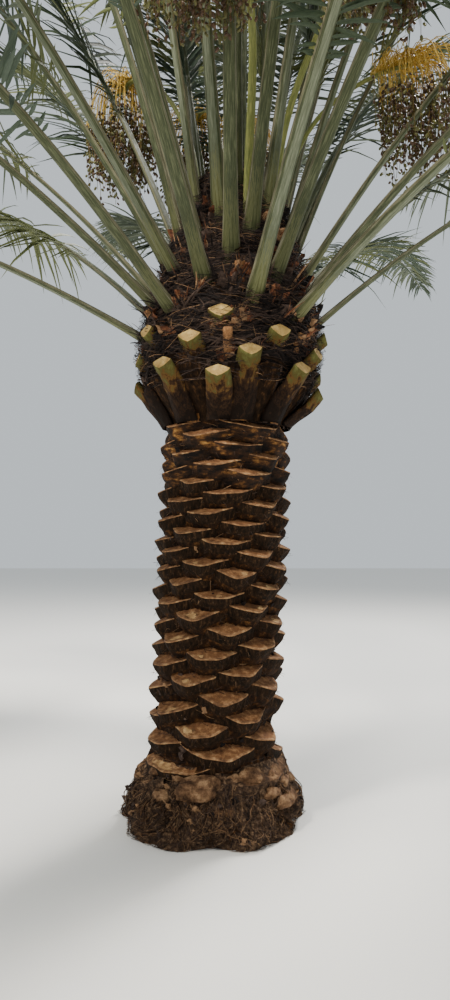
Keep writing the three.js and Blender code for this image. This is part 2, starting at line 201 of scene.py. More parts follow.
class Gathered:
    """The points and faces of one joined mesh, with a finish for each face."""

    def __init__(self, name, finishes, smooth=True):
        self.name, self.finishes, self.smooth = name, finishes, smooth
        self.points, self.uvs, self.faces, self.slots = [], [], [], []
        self.count = 0

    def add(self, points, faces, uvs=None, slot=0):
        points = np.asarray(points, float).reshape(-1, 3)
        if uvs is None:
            uvs = np.zeros((len(points), 2))
        self.points.append(points)
        self.uvs.append(np.asarray(uvs, float).reshape(-1, 2))
        self.faces.append(np.asarray(faces) + self.count)
        slots = np.broadcast_to(np.asarray(slot, int), (len(faces),))
        self.slots.append(slots)
        self.count += len(points)

    def grid(self, points, uvs=None, closed=False, slot=0, flip=False):
        """A sheet of rows and columns of points; closed joins the last column to the first."""
        rows, columns = points.shape[:2]
        faces = grid_faces(rows, columns, closed)
        self.add(points, faces[:, ::-1] if flip else faces, uvs, slot)

    def cap(self, ring, middle, slot):
        """A fan of faces from a ring of points to its middle."""
        count = len(ring)
        spokes = [(i, (i + 1) % count, count) for i in range(count)]
        self.add(np.vstack([ring, middle]), spokes, slot=slot)

    def make(self, slot, *nodes):
        """The finished piece, which rides on the palm and stands for those nodes."""
        mesh = bpy.data.meshes.new(self.name)
        faces = [face for group in self.faces for face in group.tolist()]
        mesh.from_pydata(np.concatenate(self.points).tolist(), [], faces)
        for finish in self.finishes:
            mesh.materials.append(finish)
        mesh.polygons.foreach_set("material_index", np.concatenate(self.slots).astype(np.int32))
        mesh.polygons.foreach_set("use_smooth", np.full(len(faces), self.smooth))
        corners = np.empty(len(mesh.loops), np.int32)
        mesh.loops.foreach_get("vertex_index", corners)
        layer = mesh.uv_layers.new(name="along")
        layer.data.foreach_set("uv", np.concatenate(self.uvs)[corners].astype(np.float32).ravel())
        mesh.update()
        piece = bpy.data.objects.new(self.name, mesh)
        bpy.context.collection.objects.link(piece)
        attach(piece, "root")
        if nodes:
            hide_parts(*nodes)


def grid_faces(rows, columns, closed=False):
    last = columns if closed else columns - 1
    row, column = np.meshgrid(np.arange(rows - 1), np.arange(last), indexing="ij")
    a = row * columns + column
    b = row * columns + (column + 1) % columns
    return np.stack([a, b, b + columns, a + columns], axis=-1).reshape(-1, 4)


def repeat_faces(faces, copies, points_each):
    """The faces of one small shape, once for each of its copies."""
    faces = np.asarray(faces)
    steps = np.arange(copies)[:, None, None] * points_each
    return (faces[None] + steps).reshape(-1, faces.shape[1])


def uv_map(shape, u, v):
    """The u and v of each point in an array of that shape."""
    return np.stack([np.broadcast_to(u, shape), np.broadcast_to(v, shape)], axis=-1)


def bands(slots, columns):
    """A slot for each row of faces, the same in all its columns."""
    return np.tile(np.array(slots)[:, None], (1, columns))


def sweep(gathered, outlines, closed, u, slots):
    """Threads of which outlines gives the corners at each point: (threads, points, corners, 3)."""
    threads, points, corners = outlines.shape[:3]
    faces = repeat_faces(grid_faces(points, corners, closed), threads, points * corners)
    uvs = uv_map(outlines.shape[:3], u, np.linspace(0, 1, points)[:, None])
    gathered.add(outlines, faces, uvs, np.repeat(slots, len(faces) // slots.size))


def ribbons(gathered, paths, widths, facing, slots):
    """Flat threads: paths is (threads, points, 3), and facing is the way their flat side looks."""
    tangent = unit(np.gradient(paths, axis=1))
    side = unit(np.cross(tangent, facing)) * widths[..., None] / 2
    sweep(gathered, np.stack([paths - side, paths + side], axis=2), False, [0.0, 1.0], slots)


def tubes(gathered, paths, radii, sides, slots):
    """Round threads: paths is (threads, points, 3), with a slot for each thread or each length."""
    tangent = unit(np.gradient(paths, axis=1))
    across = unit(np.cross(tangent, np.array([0.31, 0.17, 0.93])))
    up = np.cross(tangent, across)
    turn = circle(sides)
    ring = across[:, :, None] * np.cos(turn)[:, None] + up[:, :, None] * np.sin(turn)[:, None]
    skin = paths[:, :, None] + ring * radii[..., None, None]
    sweep(gathered, skin, True, turn / (2 * np.pi), slots)


# Finishes

def add_node(tree, kind, inputs):
    """A shader node with those inputs, each of them a plain value or a socket to link."""
    node = tree.nodes.new("ShaderNode" + kind)
    for name, value in inputs.items():
        if isinstance(value, bpy.types.NodeSocket):
            tree.links.new(value, node.inputs[name])
        else:
            node.inputs[name].default_value = value
    return node


def drifted(tree, uv, value, drift, drift_end):
    """A value that runs on along the piece, by so much in each metre, as far as the drift's end."""
    axes = add_node(tree, "SeparateXYZ", {"Vector": uv})
    held = add_node(tree, "Math", {0: axes.outputs["Y"], 1: drift_end})
    held.operation = "MINIMUM"
    moved = add_node(tree, "Math", {0: held.outputs["Value"], 1: drift, 2: value})
    moved.operation = "MULTIPLY_ADD"
    return moved.outputs["Value"]


def speckled(tree, place, colour, speckle):
    """A colour with small spots of another one over it."""
    cells = add_node(tree, "TexVoronoi", {"Vector": place, "Scale": 1 / speckle["size"]})
    spots = add_node(tree, "MapRange", {
        "Value": cells.outputs["Distance"],
        "From Min": speckle["edge"],
        "From Max": speckle["edge"] + 0.25,
        "To Min": speckle["amount"],
        "To Max": 0,
    })
    dotted = tree.nodes.new("ShaderNodeMix")
    dotted.data_type = "RGBA"
    tree.links.new(spots.outputs["Result"], dotted.inputs["Factor"])
    tree.links.new(colour, dotted.inputs["A"])
    dotted.inputs["B"].default_value = (*speckle["colour"], 1)
    return dotted.outputs["Result"]


def finish(name, colours, size, stretch=(1, 1, 1), roughness=(0.75, 0.95), bump=0.4, depth=0.002,
           speckle=None, by="Object", detail=6, drift=0, drift_end=1, specular=0.3):
    """A material whose colour, gloss and relief follow one pattern of that size in metres.
    With a drift the colours run on along the piece."""
    material = bpy.data.materials.new(name)
    material.use_nodes = True
    tree = material.node_tree
    place = add_node(tree, "TexCoord", {})
    scale = [s / size for s in stretch]
    mapping = add_node(tree, "Mapping", {"Vector": place.outputs[by], "Scale": scale})
    pattern = add_node(tree, "TexNoise", {
        "Vector": mapping.outputs["Vector"], "Scale": 1, "Detail": detail, "Roughness": 0.65,
    })
    height = pattern.outputs["Fac"]
    shade = drifted(tree, place.outputs["UV"], height, drift, drift_end) if drift else height
    ramp = add_node(tree, "ValToRGB", {"Fac": shade})
    points = ramp.color_ramp.elements
    while len(points) < len(colours):
        points.new(0.5)
    for point, (at, colour) in zip(points, colours):
        point.position = at
        point.color = (*colour, 1)
    colour = ramp.outputs["Color"]
    if speckle:
        colour = speckled(tree, place.outputs["Object"], colour, speckle)
    smoothest, roughest = roughness
    gloss = add_node(tree, "MapRange", {"Value": height, "To Min": smoothest, "To Max": roughest})
    relief = add_node(tree, "Bump", {"Height": height, "Strength": bump, "Distance": depth})
    shader = tree.nodes["Principled BSDF"]
    shader.inputs["Specular IOR Level"].default_value = specular
    tree.links.new(colour, shader.inputs["Base Color"])
    tree.links.new(gloss.outputs["Result"], shader.inputs["Roughness"])
    tree.links.new(relief.outputs["Normal"], shader.inputs["Normal"])
    return material


BARK_CORE = finish(
    "bark_core", [(0.36, (0.004, 0.002, 0.001)), (0.54, (0.026, 0.011, 0.004)), (0.8, (0.17, 0.072, 0.02))],
    0.03, stretch=(1, 1, 0.7), bump=1, depth=0.01, specular=0.12,
)
# The dark fibre of a leaf base's back, darkened further as painted shadow: the black band under each rim
SHADOWED_SHELL = finish(
    "leaf_base_back_painted_shadow",
    [(0.36, (0.005, 0.003, 0.001)), (0.56, (0.022, 0.011, 0.005)), (0.8, (0.13, 0.068, 0.03))],
    0.022, stretch=(1.6, 1.6, 0.35), bump=1, depth=0.01, specular=0.12,
)
# Painted highlight: amber glints spread by noise over the upper bases' backs
BARK_AMBER_GLINT = finish(
    "leaf_base_amber_glint",
    [(0.4, (0.004, 0.002, 0.001)), (0.54, (0.03, 0.013, 0.005)), (0.62, (0.13, 0.055, 0.015)),
     (0.74, (0.46, 0.24, 0.065))],
    0.05, stretch=(0.6, 0.6, 1.5), bump=0.9, depth=0.008, specular=0.2, detail=4,
)
CUT_FACE = finish(
    "cut_face", [(0.3, (0.085, 0.033, 0.013)), (0.52, (0.215, 0.096, 0.038)), (0.74, (0.47, 0.255, 0.112))],
    0.03, bump=0.7, depth=0.005, specular=0.2,
    speckle={"size": 0.0045, "edge": 0.25, "amount": 0.5, "colour": (0.05, 0.021, 0.01)},
)
# Painted sunlight: a pale cream copy of the cut face, for the sun patches on some cuts
CUT_FACE_SUNLIT = finish(
    "cut_face_painted_sunlight", [(0.3, (0.22, 0.105, 0.04)), (0.5, (0.46, 0.27, 0.11)), (0.72, (0.78, 0.54, 0.25))],
    0.035, bump=0.5, depth=0.003,
    speckle={"size": 0.0045, "edge": 0.25, "amount": 0.3, "colour": (0.4, 0.2, 0.07)},
)
# Painted highlight: a lighter copy of the cut face for the strip along each cut's outer rim
CUT_RIM_HIGHLIGHT = finish(
    "cut_rim_painted_highlight", [(0.36, (0.09, 0.04, 0.017)), (0.52, (0.26, 0.13, 0.055)), (0.74, (0.58, 0.36, 0.17))],
    0.03, bump=0.6, depth=0.003,
)
FIBRE_DARK = finish(
    "fibre_dark", [(0.35, (0.003, 0.002, 0.002)), (0.55, (0.011, 0.007, 0.006)), (0.8, (0.06, 0.036, 0.027))],
    0.012, stretch=(0.5, 0.5, 1.5), bump=1, depth=0.008, specular=0.2,
)
THREAD = dict(size=0.02, bump=0.3, specular=0.2)
# Grey-brown fibre, partly its own colour and partly painted highlight: greyed to stand for sun glints on the
# strands
FIBRE_BROWN_AND_GLINT = finish(
    "fibre_brown_and_glint", [(0.3, (0.02, 0.012, 0.009)), (0.6, (0.068, 0.043, 0.032)), (0.8, (0.2, 0.135, 0.098))],
    **THREAD,
)
FIBRE_TAN = finish(
    "fibre_tan", [(0.3, (0.13, 0.07, 0.035)), (0.6, (0.3, 0.17, 0.085)), (0.8, (0.55, 0.37, 0.21))],
    **THREAD,
)
SHEATH_RUST = finish(
    "sheath_rust", [(0.3, (0.03, 0.01, 0.005)), (0.52, (0.13, 0.042, 0.016)), (0.76, (0.42, 0.19, 0.08))],
    0.02, stretch=(1, 1, 0.5), bump=0.7, depth=0.004,
)
STAVE_DARK = finish(
    "stave_dark", [(0.35, (0.004, 0.002, 0.001)), (0.54, (0.018, 0.009, 0.004)), (0.76, (0.11, 0.05, 0.018))],
    0.022, stretch=(1, 1, 0.2), bump=1, depth=0.008, specular=0.08,
)
# Painted highlight: amber glints on the lit lower ends of some boards under the head
STAVE_AMBER_GLINT = finish(
    "stave_amber_glint", [(0.3, (0.03, 0.012, 0.004)), (0.5, (0.13, 0.05, 0.01)), (0.72, (0.45, 0.2, 0.04))],
    0.03, stretch=(1, 1, 0.4), bump=0.8, roughness=(0.45, 0.75),
)
# Along a cut stalk: green near the cut, then a band of painted amber glint, then darker towards its base
STALK_SKIN = finish(
    "stalk_skin",
    [(0.3, (0.17, 0.16, 0.052)), (0.44, (0.1, 0.098, 0.027)), (0.58, (0.07, 0.058, 0.016)),
     (0.67, (0.11, 0.055, 0.014)), (0.75, (0.036, 0.017, 0.007)), (0.9, (0.006, 0.003, 0.002)),
     (0.97, (0.026, 0.012, 0.005)), (1, (0.008, 0.004, 0.002))],
    0.03, stretch=(1, 1, 0.22), bump=0.9, depth=0.006, roughness=(0.7, 0.95), detail=5,
    drift=2.2, specular=0.12,
)
STUB_CUT = finish(
    "stub_cut", [(0.3, (0.2, 0.12, 0.035)), (0.5, (0.36, 0.235, 0.075)), (0.72, (0.58, 0.42, 0.17))],
    0.04, bump=0.5, depth=0.002,
    speckle={"size": 0.005, "edge": 0.2, "amount": 0.35, "colour": (0.2, 0.11, 0.04)},
)
DRY_WOOD = finish(
    "dry_stump", [(0.3, (0.1, 0.04, 0.015)), (0.52, (0.26, 0.12, 0.045)), (0.75, (0.5, 0.28, 0.12))],
    0.02, stretch=(1, 1, 0.25), bump=0.7, depth=0.003,
)
BURR = finish(
    "burr", [(0.36, (0.03, 0.015, 0.007)), (0.5, (0.13, 0.067, 0.033)), (0.72, (0.4, 0.245, 0.128))],
    0.05, bump=1, depth=0.015, specular=0.15,
    speckle={"size": 0.005, "edge": 0.25, "amount": 0.35, "colour": (0.05, 0.024, 0.012)},
)
ROOT_MAT = finish(
    "root_mat", [(0.36, (0.014, 0.008, 0.005)), (0.52, (0.068, 0.038, 0.021)), (0.74, (0.28, 0.17, 0.095))],
    0.02, bump=1, depth=0.012, specular=0.15,
)


def green(name, dark, middle, light, **more):
    return finish(name, [(0.3, dark), (0.5, middle), (0.72, light)], **more)


PETIOLE = dict(
    size=0.05, stretch=(9, 0.5, 1), by="UV", bump=0.15, depth=0.001, roughness=(0.5, 0.7), specular=0.2,
)
RUN_ON = dict(drift=0.8, drift_end=0.45)
# The stalk's grey bloom as lit; the copy after it is the same with painted shade
RIB_MIDDLE = finish(
    "petiole_bloom",
    [(0.34, (0.045, 0.05, 0.016)), (0.5, (0.085, 0.09, 0.03)), (0.64, (0.15, 0.155, 0.07)),
     (0.74, (0.085, 0.098, 0.058)), (0.86, (0.13, 0.147, 0.092)), (1, (0.2, 0.22, 0.15))],
    **PETIOLE, **RUN_ON,
)
RIB_SHADED = finish(
    "petiole_painted_shade",
    [(0.34, (0.022, 0.026, 0.008)), (0.5, (0.05, 0.056, 0.018)), (0.64, (0.1, 0.105, 0.045)),
     (0.74, (0.034, 0.042, 0.019)), (0.86, (0.062, 0.073, 0.034)), (1, (0.13, 0.143, 0.075))],
    **PETIOLE, **RUN_ON,
)
RIB_EDGE = green(
    "petiole_edge", (0.045, 0.043, 0.022), (0.108, 0.102, 0.056), (0.27, 0.255, 0.175), **PETIOLE,
)

LEAF = dict(size=0.02, stretch=(6, 0.4, 1), by="UV", bump=0.15, depth=0.0005, roughness=(0.45, 0.65))
LEAFLET_GREENS = [
    green("leaflet_grey", (0.045, 0.06, 0.034), (0.085, 0.105, 0.062), (0.19, 0.215, 0.14), **LEAF),
    green("leaflet_blue", (0.024, 0.042, 0.027), (0.05, 0.074, 0.048), (0.12, 0.15, 0.1), **LEAF),
    green("leaflet_deep", (0.012, 0.022, 0.01), (0.028, 0.044, 0.02), (0.07, 0.098, 0.046), **LEAF),
    green("leaflet_fresh", (0.045, 0.06, 0.018), (0.095, 0.112, 0.036), (0.21, 0.222, 0.088), **LEAF),
]
STRAND = dict(bump=0.15, roughness=(0.65, 0.85), specular=0.15)
STRAND_GOLD = finish(
    "strand_gold", [(0.32, (0.33, 0.18, 0.025)), (0.5, (0.6, 0.4, 0.08)), (0.7, (0.88, 0.7, 0.27))],
    0.02, **STRAND,
)
STRAND_GREEN = finish(
    "strand_green", [(0.3, (0.13, 0.12, 0.02)), (0.5, (0.26, 0.23, 0.045)), (0.75, (0.48, 0.4, 0.1))],
    0.03, **STRAND,
)
STRAND_DARK = finish(
    "strand_dark", [(0.3, (0.05, 0.035, 0.012)), (0.5, (0.12, 0.085, 0.028)), (0.75, (0.28, 0.2, 0.07))],
    0.03, **STRAND,
)
BUNCH_STALK_FINISH = finish(
    "bunch_stalk", [(0.3, (0.1, 0.12, 0.03)), (0.5, (0.2, 0.22, 0.06)), (0.75, (0.4, 0.38, 0.12))],
    0.04, stretch=(9, 0.5, 1), by="UV", bump=0.2, roughness=(0.4, 0.6),
)
DATE = dict(size=0.008, bump=0.3, depth=0.001, roughness=(0.3, 0.5))
DATE_BROWN = finish(
    "date_brown", [(0.3, (0.03, 0.016, 0.009)), (0.5, (0.07, 0.038, 0.02)), (0.75, (0.15, 0.085, 0.04))],
    **DATE,
)
DATE_OLIVE = finish(
    "date_olive", [(0.3, (0.05, 0.052, 0.016)), (0.5, (0.1, 0.098, 0.03)), (0.75, (0.2, 0.18, 0.065))],
    **DATE,
)


# The camera, the light and the floor

def add_camera():
    data = bpy.data.cameras.new("camera")
    data.sensor_fit = "VERTICAL"
    data.sensor_height = FILM_HEIGHT
    data.lens = LENS
    camera = bpy.data.objects.new("camera", data)
    camera.location = CAMERA_PLACE
    camera.rotation_euler = (math.radians(CAMERA_PITCH), 0, 0)
    bpy.context.collection.objects.link(camera)
    bpy.context.scene.camera = camera


def add_light(name, location, target, size, energy, colour):
    data = bpy.data.lights.new(name, "AREA")
    data.shape = "DISK"
    data.size, data.energy, data.color = size, energy, colour
    light = bpy.data.objects.new(name, data)
    light.location = location
    light.rotation_euler = (Vector(target) - Vector(location)).to_track_quat("-Z", "Y").to_euler()
    bpy.context.collection.objects.link(light)


def add_studio():
    world = bpy.data.worlds.new("studio")
    world.use_nodes = True
    back = world.node_tree.nodes["Background"]
    back.inputs["Color"].default_value = (0.88, 0.95, 1, 1)
    back.inputs["Strength"].default_value = 0.75
    bpy.context.scene.world = world
    add_light("key", (-4.5, -5, 11), (0, 0, 1.6), 2, 2300, (1, 0.94, 0.84))
    add_light("rim", (4.5, 6, 11), (0, 0, 2.6), 3, 2300, (1, 0.97, 0.92))
    mesh = bpy.data.meshes.new("floor")
    mesh.from_pydata([(-40, -40, 0), (40, -40, 0), (40, 40, 0), (-40, 40, 0)], [], [(0, 1, 2, 3)])
    floor = bpy.data.objects.new("floor", mesh)
    plain = bpy.data.materials.new("floor")
    plain.use_nodes = True
    plain.node_tree.nodes["Principled BSDF"].inputs["Base Color"].default_value = (0.78, 0.77, 0.74, 1)
    plain.node_tree.nodes["Principled BSDF"].inputs["Roughness"].default_value = 0.9
    mesh.materials.append(plain)
    bpy.context.collection.objects.link(floor)


# The trunk

# The bark's finishes, and the slots that they have on it
BARK_FINISHES = [BARK_CORE, CUT_RIM_HIGHLIGHT, SHADOWED_SHELL, ROOT_MAT, CUT_FACE, CUT_FACE_SUNLIT, BURR, BARK_AMBER_GLINT]
CORE, LIT_RIM, SHADOW_BAND, MAT, FACE, SUN_PATCH, KNOB, AMBER_GLINT = range(len(BARK_FINISHES))
THREAD_FINISHES = [FIBRE_DARK, FIBRE_BROWN_AND_GLINT, FIBRE_TAN, SHEATH_RUST]
DARK, BROWN_AND_GLINT, TAN, RUST = range(len(THREAD_FINISHES))
WHISKERS = 22  # on each leaf base
STEM_THREADS = 1500
FOOT_THREADS = 3600
STEM_SCRAPS = 150
FOOT_SCRAPS = 110
BURRS = 28  # besides those in front
ROOTS = 430
ROOT_CLUMPS = 60


def rim_height(leaf):
    return FIRST_RIM + LEAF_RISE * leaf + FOOT_STRETCH * (1 - math.exp(-leaf / FOOT_FADE))


def root_bump(azimuth, z):
    fade = np.maximum(0, 1 - z / FOOT_HEIGHT)
    return ROOT_LUMP * fade * (np.sin(5 * azimuth + z / 0.07) + 0.7 * np.sin(9 * azimuth - z / 0.045))


def trunk_core(bark):
    """The stem behind the leaf bases, closed below, with a rougher foot."""
    azimuth = circle(160)
    z = np.concatenate([np.linspace(0, 0.42, 34), np.linspace(0.44, TRUNK_TOP + 0.03, 120)])
    a, h = np.meshgrid(azimuth, z)
    radius = along(STEM_PROFILE, h) + root_bump(a, h)
    points = trunk_point(a, radius, h)
    rough = np.where(h < FOOT_HEIGHT, 0.02 * lumps(points, 0.07), 0.006 * lumps(points, 0.03))
    points = trunk_point(a, radius + rough - 0.004, h)
    rooted = np.repeat(z[:-1] < MAT_HEIGHT, len(azimuth))
    bark.grid(points, closed=True, slot=np.where(rooted, MAT, CORE))
    bark.add(points[0], np.arange(len(azimuth))[None, ::-1], slot=MAT)


def base_shape(leaf):
    z = rim_height(leaf) + 0.004 * vary(leaf, 1)
    stem = along(STEM_PROFILE, min(z, TRUNK_TOP)) - 0.006
    rim = mix(*RIM_RADII, z / TRUNK_TOP) * (1 + 0.03 * vary(leaf, 2))
    return {
        "azimuth": azimuth_of(leaf),
        "z": z,
        "stem": stem,
        "reach": max(LEAST_REACH, rim - stem),
        "half": math.radians(BASE_HALF_ANGLE * (1 + 0.1 * vary(leaf, 3))),
        "tilt": math.tan(math.radians(BASE_TILT + 5 * vary(leaf, 4))),
    }


LAST_WORN_BASE = 2  # bases up to it have grown over and look like the root boss
LAST_BACK_WITHOUT_GLINT = 102  # above it the backs get painted amber glints
# Depths under a leaf base's rim, and how far out its back stands there, of the rim's reach
BACK = [(0.0, 1.0), (0.005, 1.01), (0.015, 0.96), (0.032, 0.86), (0.052, 0.69), (0.075, 0.46), (0.112, 0.1)]
WING = 1.55  # how far the rim runs on past the cut face, of its half angle
WING_START = 0.86
WING_REACH = 0.03
WING_RISE = 0.03
FACE_END = 1.05  # where the cut face's colour ends, of the half angle
INNER_REACH = -0.03  # the cut face starts that far out from the stem's skin
FACE_SHARES = np.array([0, 0.25, 0.5, 0.72, 0.88, 0.95, 1])  # from the stem out to the rim
# Leaf bases with a patch of painted sunlight on their cut: where its middle is across them, and half its
# width
SUN_PATCHES = {
    3: (-0.1, 0.72), 11: (-0.4, 0.25), 16: (0.15, 0.2), 24: (0, 0.2), 32: (-0.2, 0.1), 37: (0.1, 0.26),
    43: (0, 0.28), 45: (-0.05, 0.24), 48: (0.35, 0.16), 53: (0.1, 0.13), 56: (0, 0.2), 61: (0.25, 0.16),
    66: (-0.15, 0.12),
}


def crescent(across):
    """How far out a cut face reaches, with full middle and drawn-out corners."""
    inside = np.clip(across, -1, 1)
    return 0.75 * (1 + np.cos(np.pi * inside)) / 2 + 0.25 * (1 - inside**2)


def painted_sun_patch(bark, face, middle, half):
    """A ragged patch of painted sunlight on a cut face, near its rim."""
    turn = circle(30)
    ragged = 1 + 0.2 * np.sin(3 * turn + 9 * middle) + 0.12 * np.sin(7 * turn + 31 * half)
    ring = np.array([0.1, 0.4, 0.66, 1])[:, None] * ragged
    x = np.clip(middle + half * ring * np.cos(turn), -0.95, 0.95)
    deep = min(0.42, 0.08 + 0.55 * half)
    y = np.clip(0.98 - deep + deep * ring * np.sin(turn), 0.08, 0.975)
    row = np.interp(y, FACE_SHARES, np.arange(len(FACE_SHARES)))
    column = (x + WING) / (2 * WING) * (face.shape[1] - 1)
    r, c = row.astype(int), column.astype(int)
    outwards, sideways = (row - r)[..., None], (column - c)[..., None]
    inner = mix(face[r, c], face[r, c + 1], sideways)
    outer = mix(face[r + 1, c], face[r + 1, c + 1], sideways)
    points = mix(inner, outer, outwards)
    points[..., 2] += 0.0016
    # Two rings of painted sunlight, and an outer ring in the rim's lighter colour that softens its edge
    bark.grid(points, closed=True, slot=np.repeat([SUN_PATCH, SUN_PATCH, LIT_RIM], len(turn)))
    bark.add(points[0], np.arange(len(turn))[None, ::-1], slot=SUN_PATCH)


def base_back(base, leaf, across, out, height):
    """The fibrous back of a leaf base, from its rim down to the stem."""
    place = base["azimuth"] + base["half"] * across
    rows = []
    for depth, share in BACK:
        ridge = 0.003 * np.sin(across * 34 + leaf) * min(1, depth / 0.02)
        radius = base["stem"] + out * share + ridge - 0.03 * (depth > 0.1)
        rows.append(trunk_point(place, radius, height - depth))
    back = np.stack(rows)
    back[2:] += 0.007 * lumps(back[2:], 0.035)[..., None] * outward(base["azimuth"])
    return back


def cut_face(base, across, inner_height, rim):
    """The cut face of a leaf base, from inside the stem to the rim."""
    place = base["azimuth"] + base["half"] * across
    inner = trunk_point(place, base["stem"] + INNER_REACH, inner_height)
    face = inner + (rim - inner) * FACE_SHARES[:, None, None]
    worn = np.sin(np.pi * FACE_SHARES)[:, None] * crescent(across)
    face[..., 2] -= 0.006 * worn
    face[..., 2] += 0.004 * lumps(face, 0.025) * np.minimum(1, 3 * (1 - FACE_SHARES))[:, None]
    return face


def leaf_base(bark, leaf):
    """One cut leaf base: the cut face, its rim, and the fibrous back that tapers to the stem."""
    base = base_shape(leaf)
    across = np.linspace(-WING, WING, 37)
    wing = np.clip((np.abs(across) - WING_START) / (WING - WING_START), 0, 1)
    skew = 0.014 * vary(leaf, 22) * across

    def height(out):
        """How high the slanting cut lies, that far out from the stem."""
        return base["z"] + (base["reach"] - out) * base["tilt"] + skew + WING_RISE * wing**1.5

    wave = 0.005 * np.sin(across * 8 + leaf * 2.1) * crescent(across)
    out = (base["reach"] - WING_REACH) * crescent(across) + WING_REACH * (1 - 0.8 * wing) + wave
    back = base_back(base, leaf, across, out, height(out))
    face = cut_face(base, across, height(INNER_REACH), back[0])
    for part in (back, face):
        part[..., 2] = np.clip(part[..., 2], GROUND, BASE_LIMIT)

    columns = len(across) - 1
    middles = (across[1:] + across[:-1]) / 2
    # The outer two rows of each cut carry the rim's painted highlight
    face_slots = bands([FACE] * 4 + [LIT_RIM] * 2, columns)
    face_slots[:, np.abs(middles) >= FACE_END] = CORE
    # The back's top row keeps the rim's painted highlight, then three rows of painted shadow under the rim,
    # then the core's reddish brown
    back_slots = bands([LIT_RIM] + [SHADOW_BAND] * 3 + [CORE] * 2, columns)
    # The upper bases' backs get painted amber glints in place of the painted shadow
    if leaf > LAST_BACK_WITHOUT_GLINT:
        back_slots[1:5] = AMBER_GLINT
    if leaf <= LAST_WORN_BASE:
        face += 0.014 * lumps(face, 0.04)[..., None] * UP
        face[-1] = back[0]
        face_slots = np.where(face_slots == CORE, MAT, KNOB)
        back_slots[:] = MAT
    bark.grid(face, slot=face_slots.ravel(), flip=True)
    # Some cuts carry a patch of painted sunlight
    if leaf in SUN_PATCHES:
        painted_sun_patch(bark, face, *SUN_PATCHES[leaf])
    bark.grid(back, slot=back_slots.ravel(), flip=True)


def rim_whiskers(fibres, leaf, rng):
    """Short fibre ends that stand out along a leaf base's rim and hang under it."""
    base = base_shape(leaf)
    count = WHISKERS
    across = rng.uniform(-1.2, 1.2, count)
    out = (base["reach"] - WING_REACH) * crescent(across) + WING_REACH
    height = base["z"] + (base["reach"] - out) * base["tilt"] - rng.uniform(0.002, 0.05, count)
    start = trunk_point(base["azimuth"] + base["half"] * across, base["stem"] + out - 0.006, height)
    length = rng.uniform(0.008, 0.032, count)
    way = outward(base["azimuth"] + base["half"] * across + rng.normal(0, 0.7, count))
    way[:, 2] = rng.uniform(-1.2, 0.5, count)
    way = unit(way)
    t = np.linspace(0, 1, 4)[:, None]
    reach = length[:, None, None]
    paths = start[:, None] + way[:, None] * (reach * t) - 0.35 * UP * (reach * t**2)
    paths[..., 2] = np.maximum(paths[..., 2], GROUND)
    widths = rng.uniform(0.001, 0.0022, count)[:, None] * np.array([1, 1, 0.8, 0.3])
    facing = outward(base["azimuth"]) + rng.normal(0, 0.3, (count, 1, 3))
    ribbons(fibres, paths, widths, facing, rng.choice(3, count, p=[0.45, 0.47, 0.08]))


def surface_fibres(fibres, rng, count, low, high, radius_at, length, slant, lift, width, weights):
    """Threads that lie tangled over a turned surface."""
    points = 7
    azimuth = rng.uniform(0, 2 * np.pi, count)
    z = rng.uniform(low, high, count)
    reach = rng.uniform(*length, count)
    angle = rng.normal(0, slant, count) + np.where(rng.random(count) < 0.5, np.pi, 0)
    bend = rng.normal(0, 0.5, count)
    t = np.linspace(0, 1, points)
    angle = angle[:, None] + bend[:, None] * (t - 0.3)
    step = reach[:, None] / (points - 1)
    dz = np.cumsum(np.sin(angle) * step, axis=1)
    da = np.cumsum(np.cos(angle) * step, axis=1) / radius_at(azimuth, z)[:, None]
    h = np.clip(z[:, None] + dz, low, high + 0.02)
    a = azimuth[:, None] + da
    rise = rng.uniform(0.2, 1, count)[:, None] * lift
    waves = rng.uniform(0.5, 2.5, count)[:, None]
    wobble = rise * (0.35 + np.sin(t * np.pi * waves) ** 2)
    paths = trunk_point(a, radius_at(a, h) + wobble, h)
    widths = rng.uniform(*width, count)[:, None] * (1 - 0.6 * t)
    facing = outward(a) + rng.normal(0, 0.35, (count, 1, 3))
    ribbons(fibres, paths, widths, facing, rng.choice(len(weights), count, p=weights))


# Knobs of the root boss that show in front: degrees round it, height and size
FRONT_BURRS = [
    (259, 0.245, 0.082), (303, 0.285, 0.05), (286, 0.285, 0.032), (241, 0.28, 0.028), (231, 0.2, 0.04),
    (277, 0.16, 0.045), (318, 0.2, 0.04),
]


def burrs(boss, rng):
    """Knobs of the root boss, where old bases and roots have grown over."""
    t, r = np.meshgrid(circle(22), np.linspace(0.02, np.pi - 0.02, 13))
    round_knob = np.stack([np.sin(r) * np.cos(t), np.sin(r) * np.sin(t), np.cos(r)], axis=-1)
    spots = [(math.radians(degrees), z, size) for degrees, z, size in FRONT_BURRS]
    for _ in range(BURRS):
        spots.append((rng.uniform(-0.7, 3.8), rng.uniform(0.13, 0.29), rng.uniform(0.022, 0.05)))
    for azimuth, z, size in spots:
        centre = trunk_point(azimuth, along(STEM_PROFILE, z) - 0.25 * size, z)
        worn = 1 + 0.34 * lumps(round_knob + azimuth * 7, 0.8) + 0.08 * lumps(round_knob + azimuth * 3, 0.2)
        ball = size * round_knob * worn[..., None] * np.array([0.9, 1.35, 0.75])
        out, side = out_and_side(azimuth)
        knob = centre + ball[..., :1] * out + ball[..., 1:2] * side + ball[..., 2:] * UP
        knob[..., 2] = np.maximum(knob[..., 2], GROUND)
        boss.grid(knob, closed=True, slot=1, flip=True)


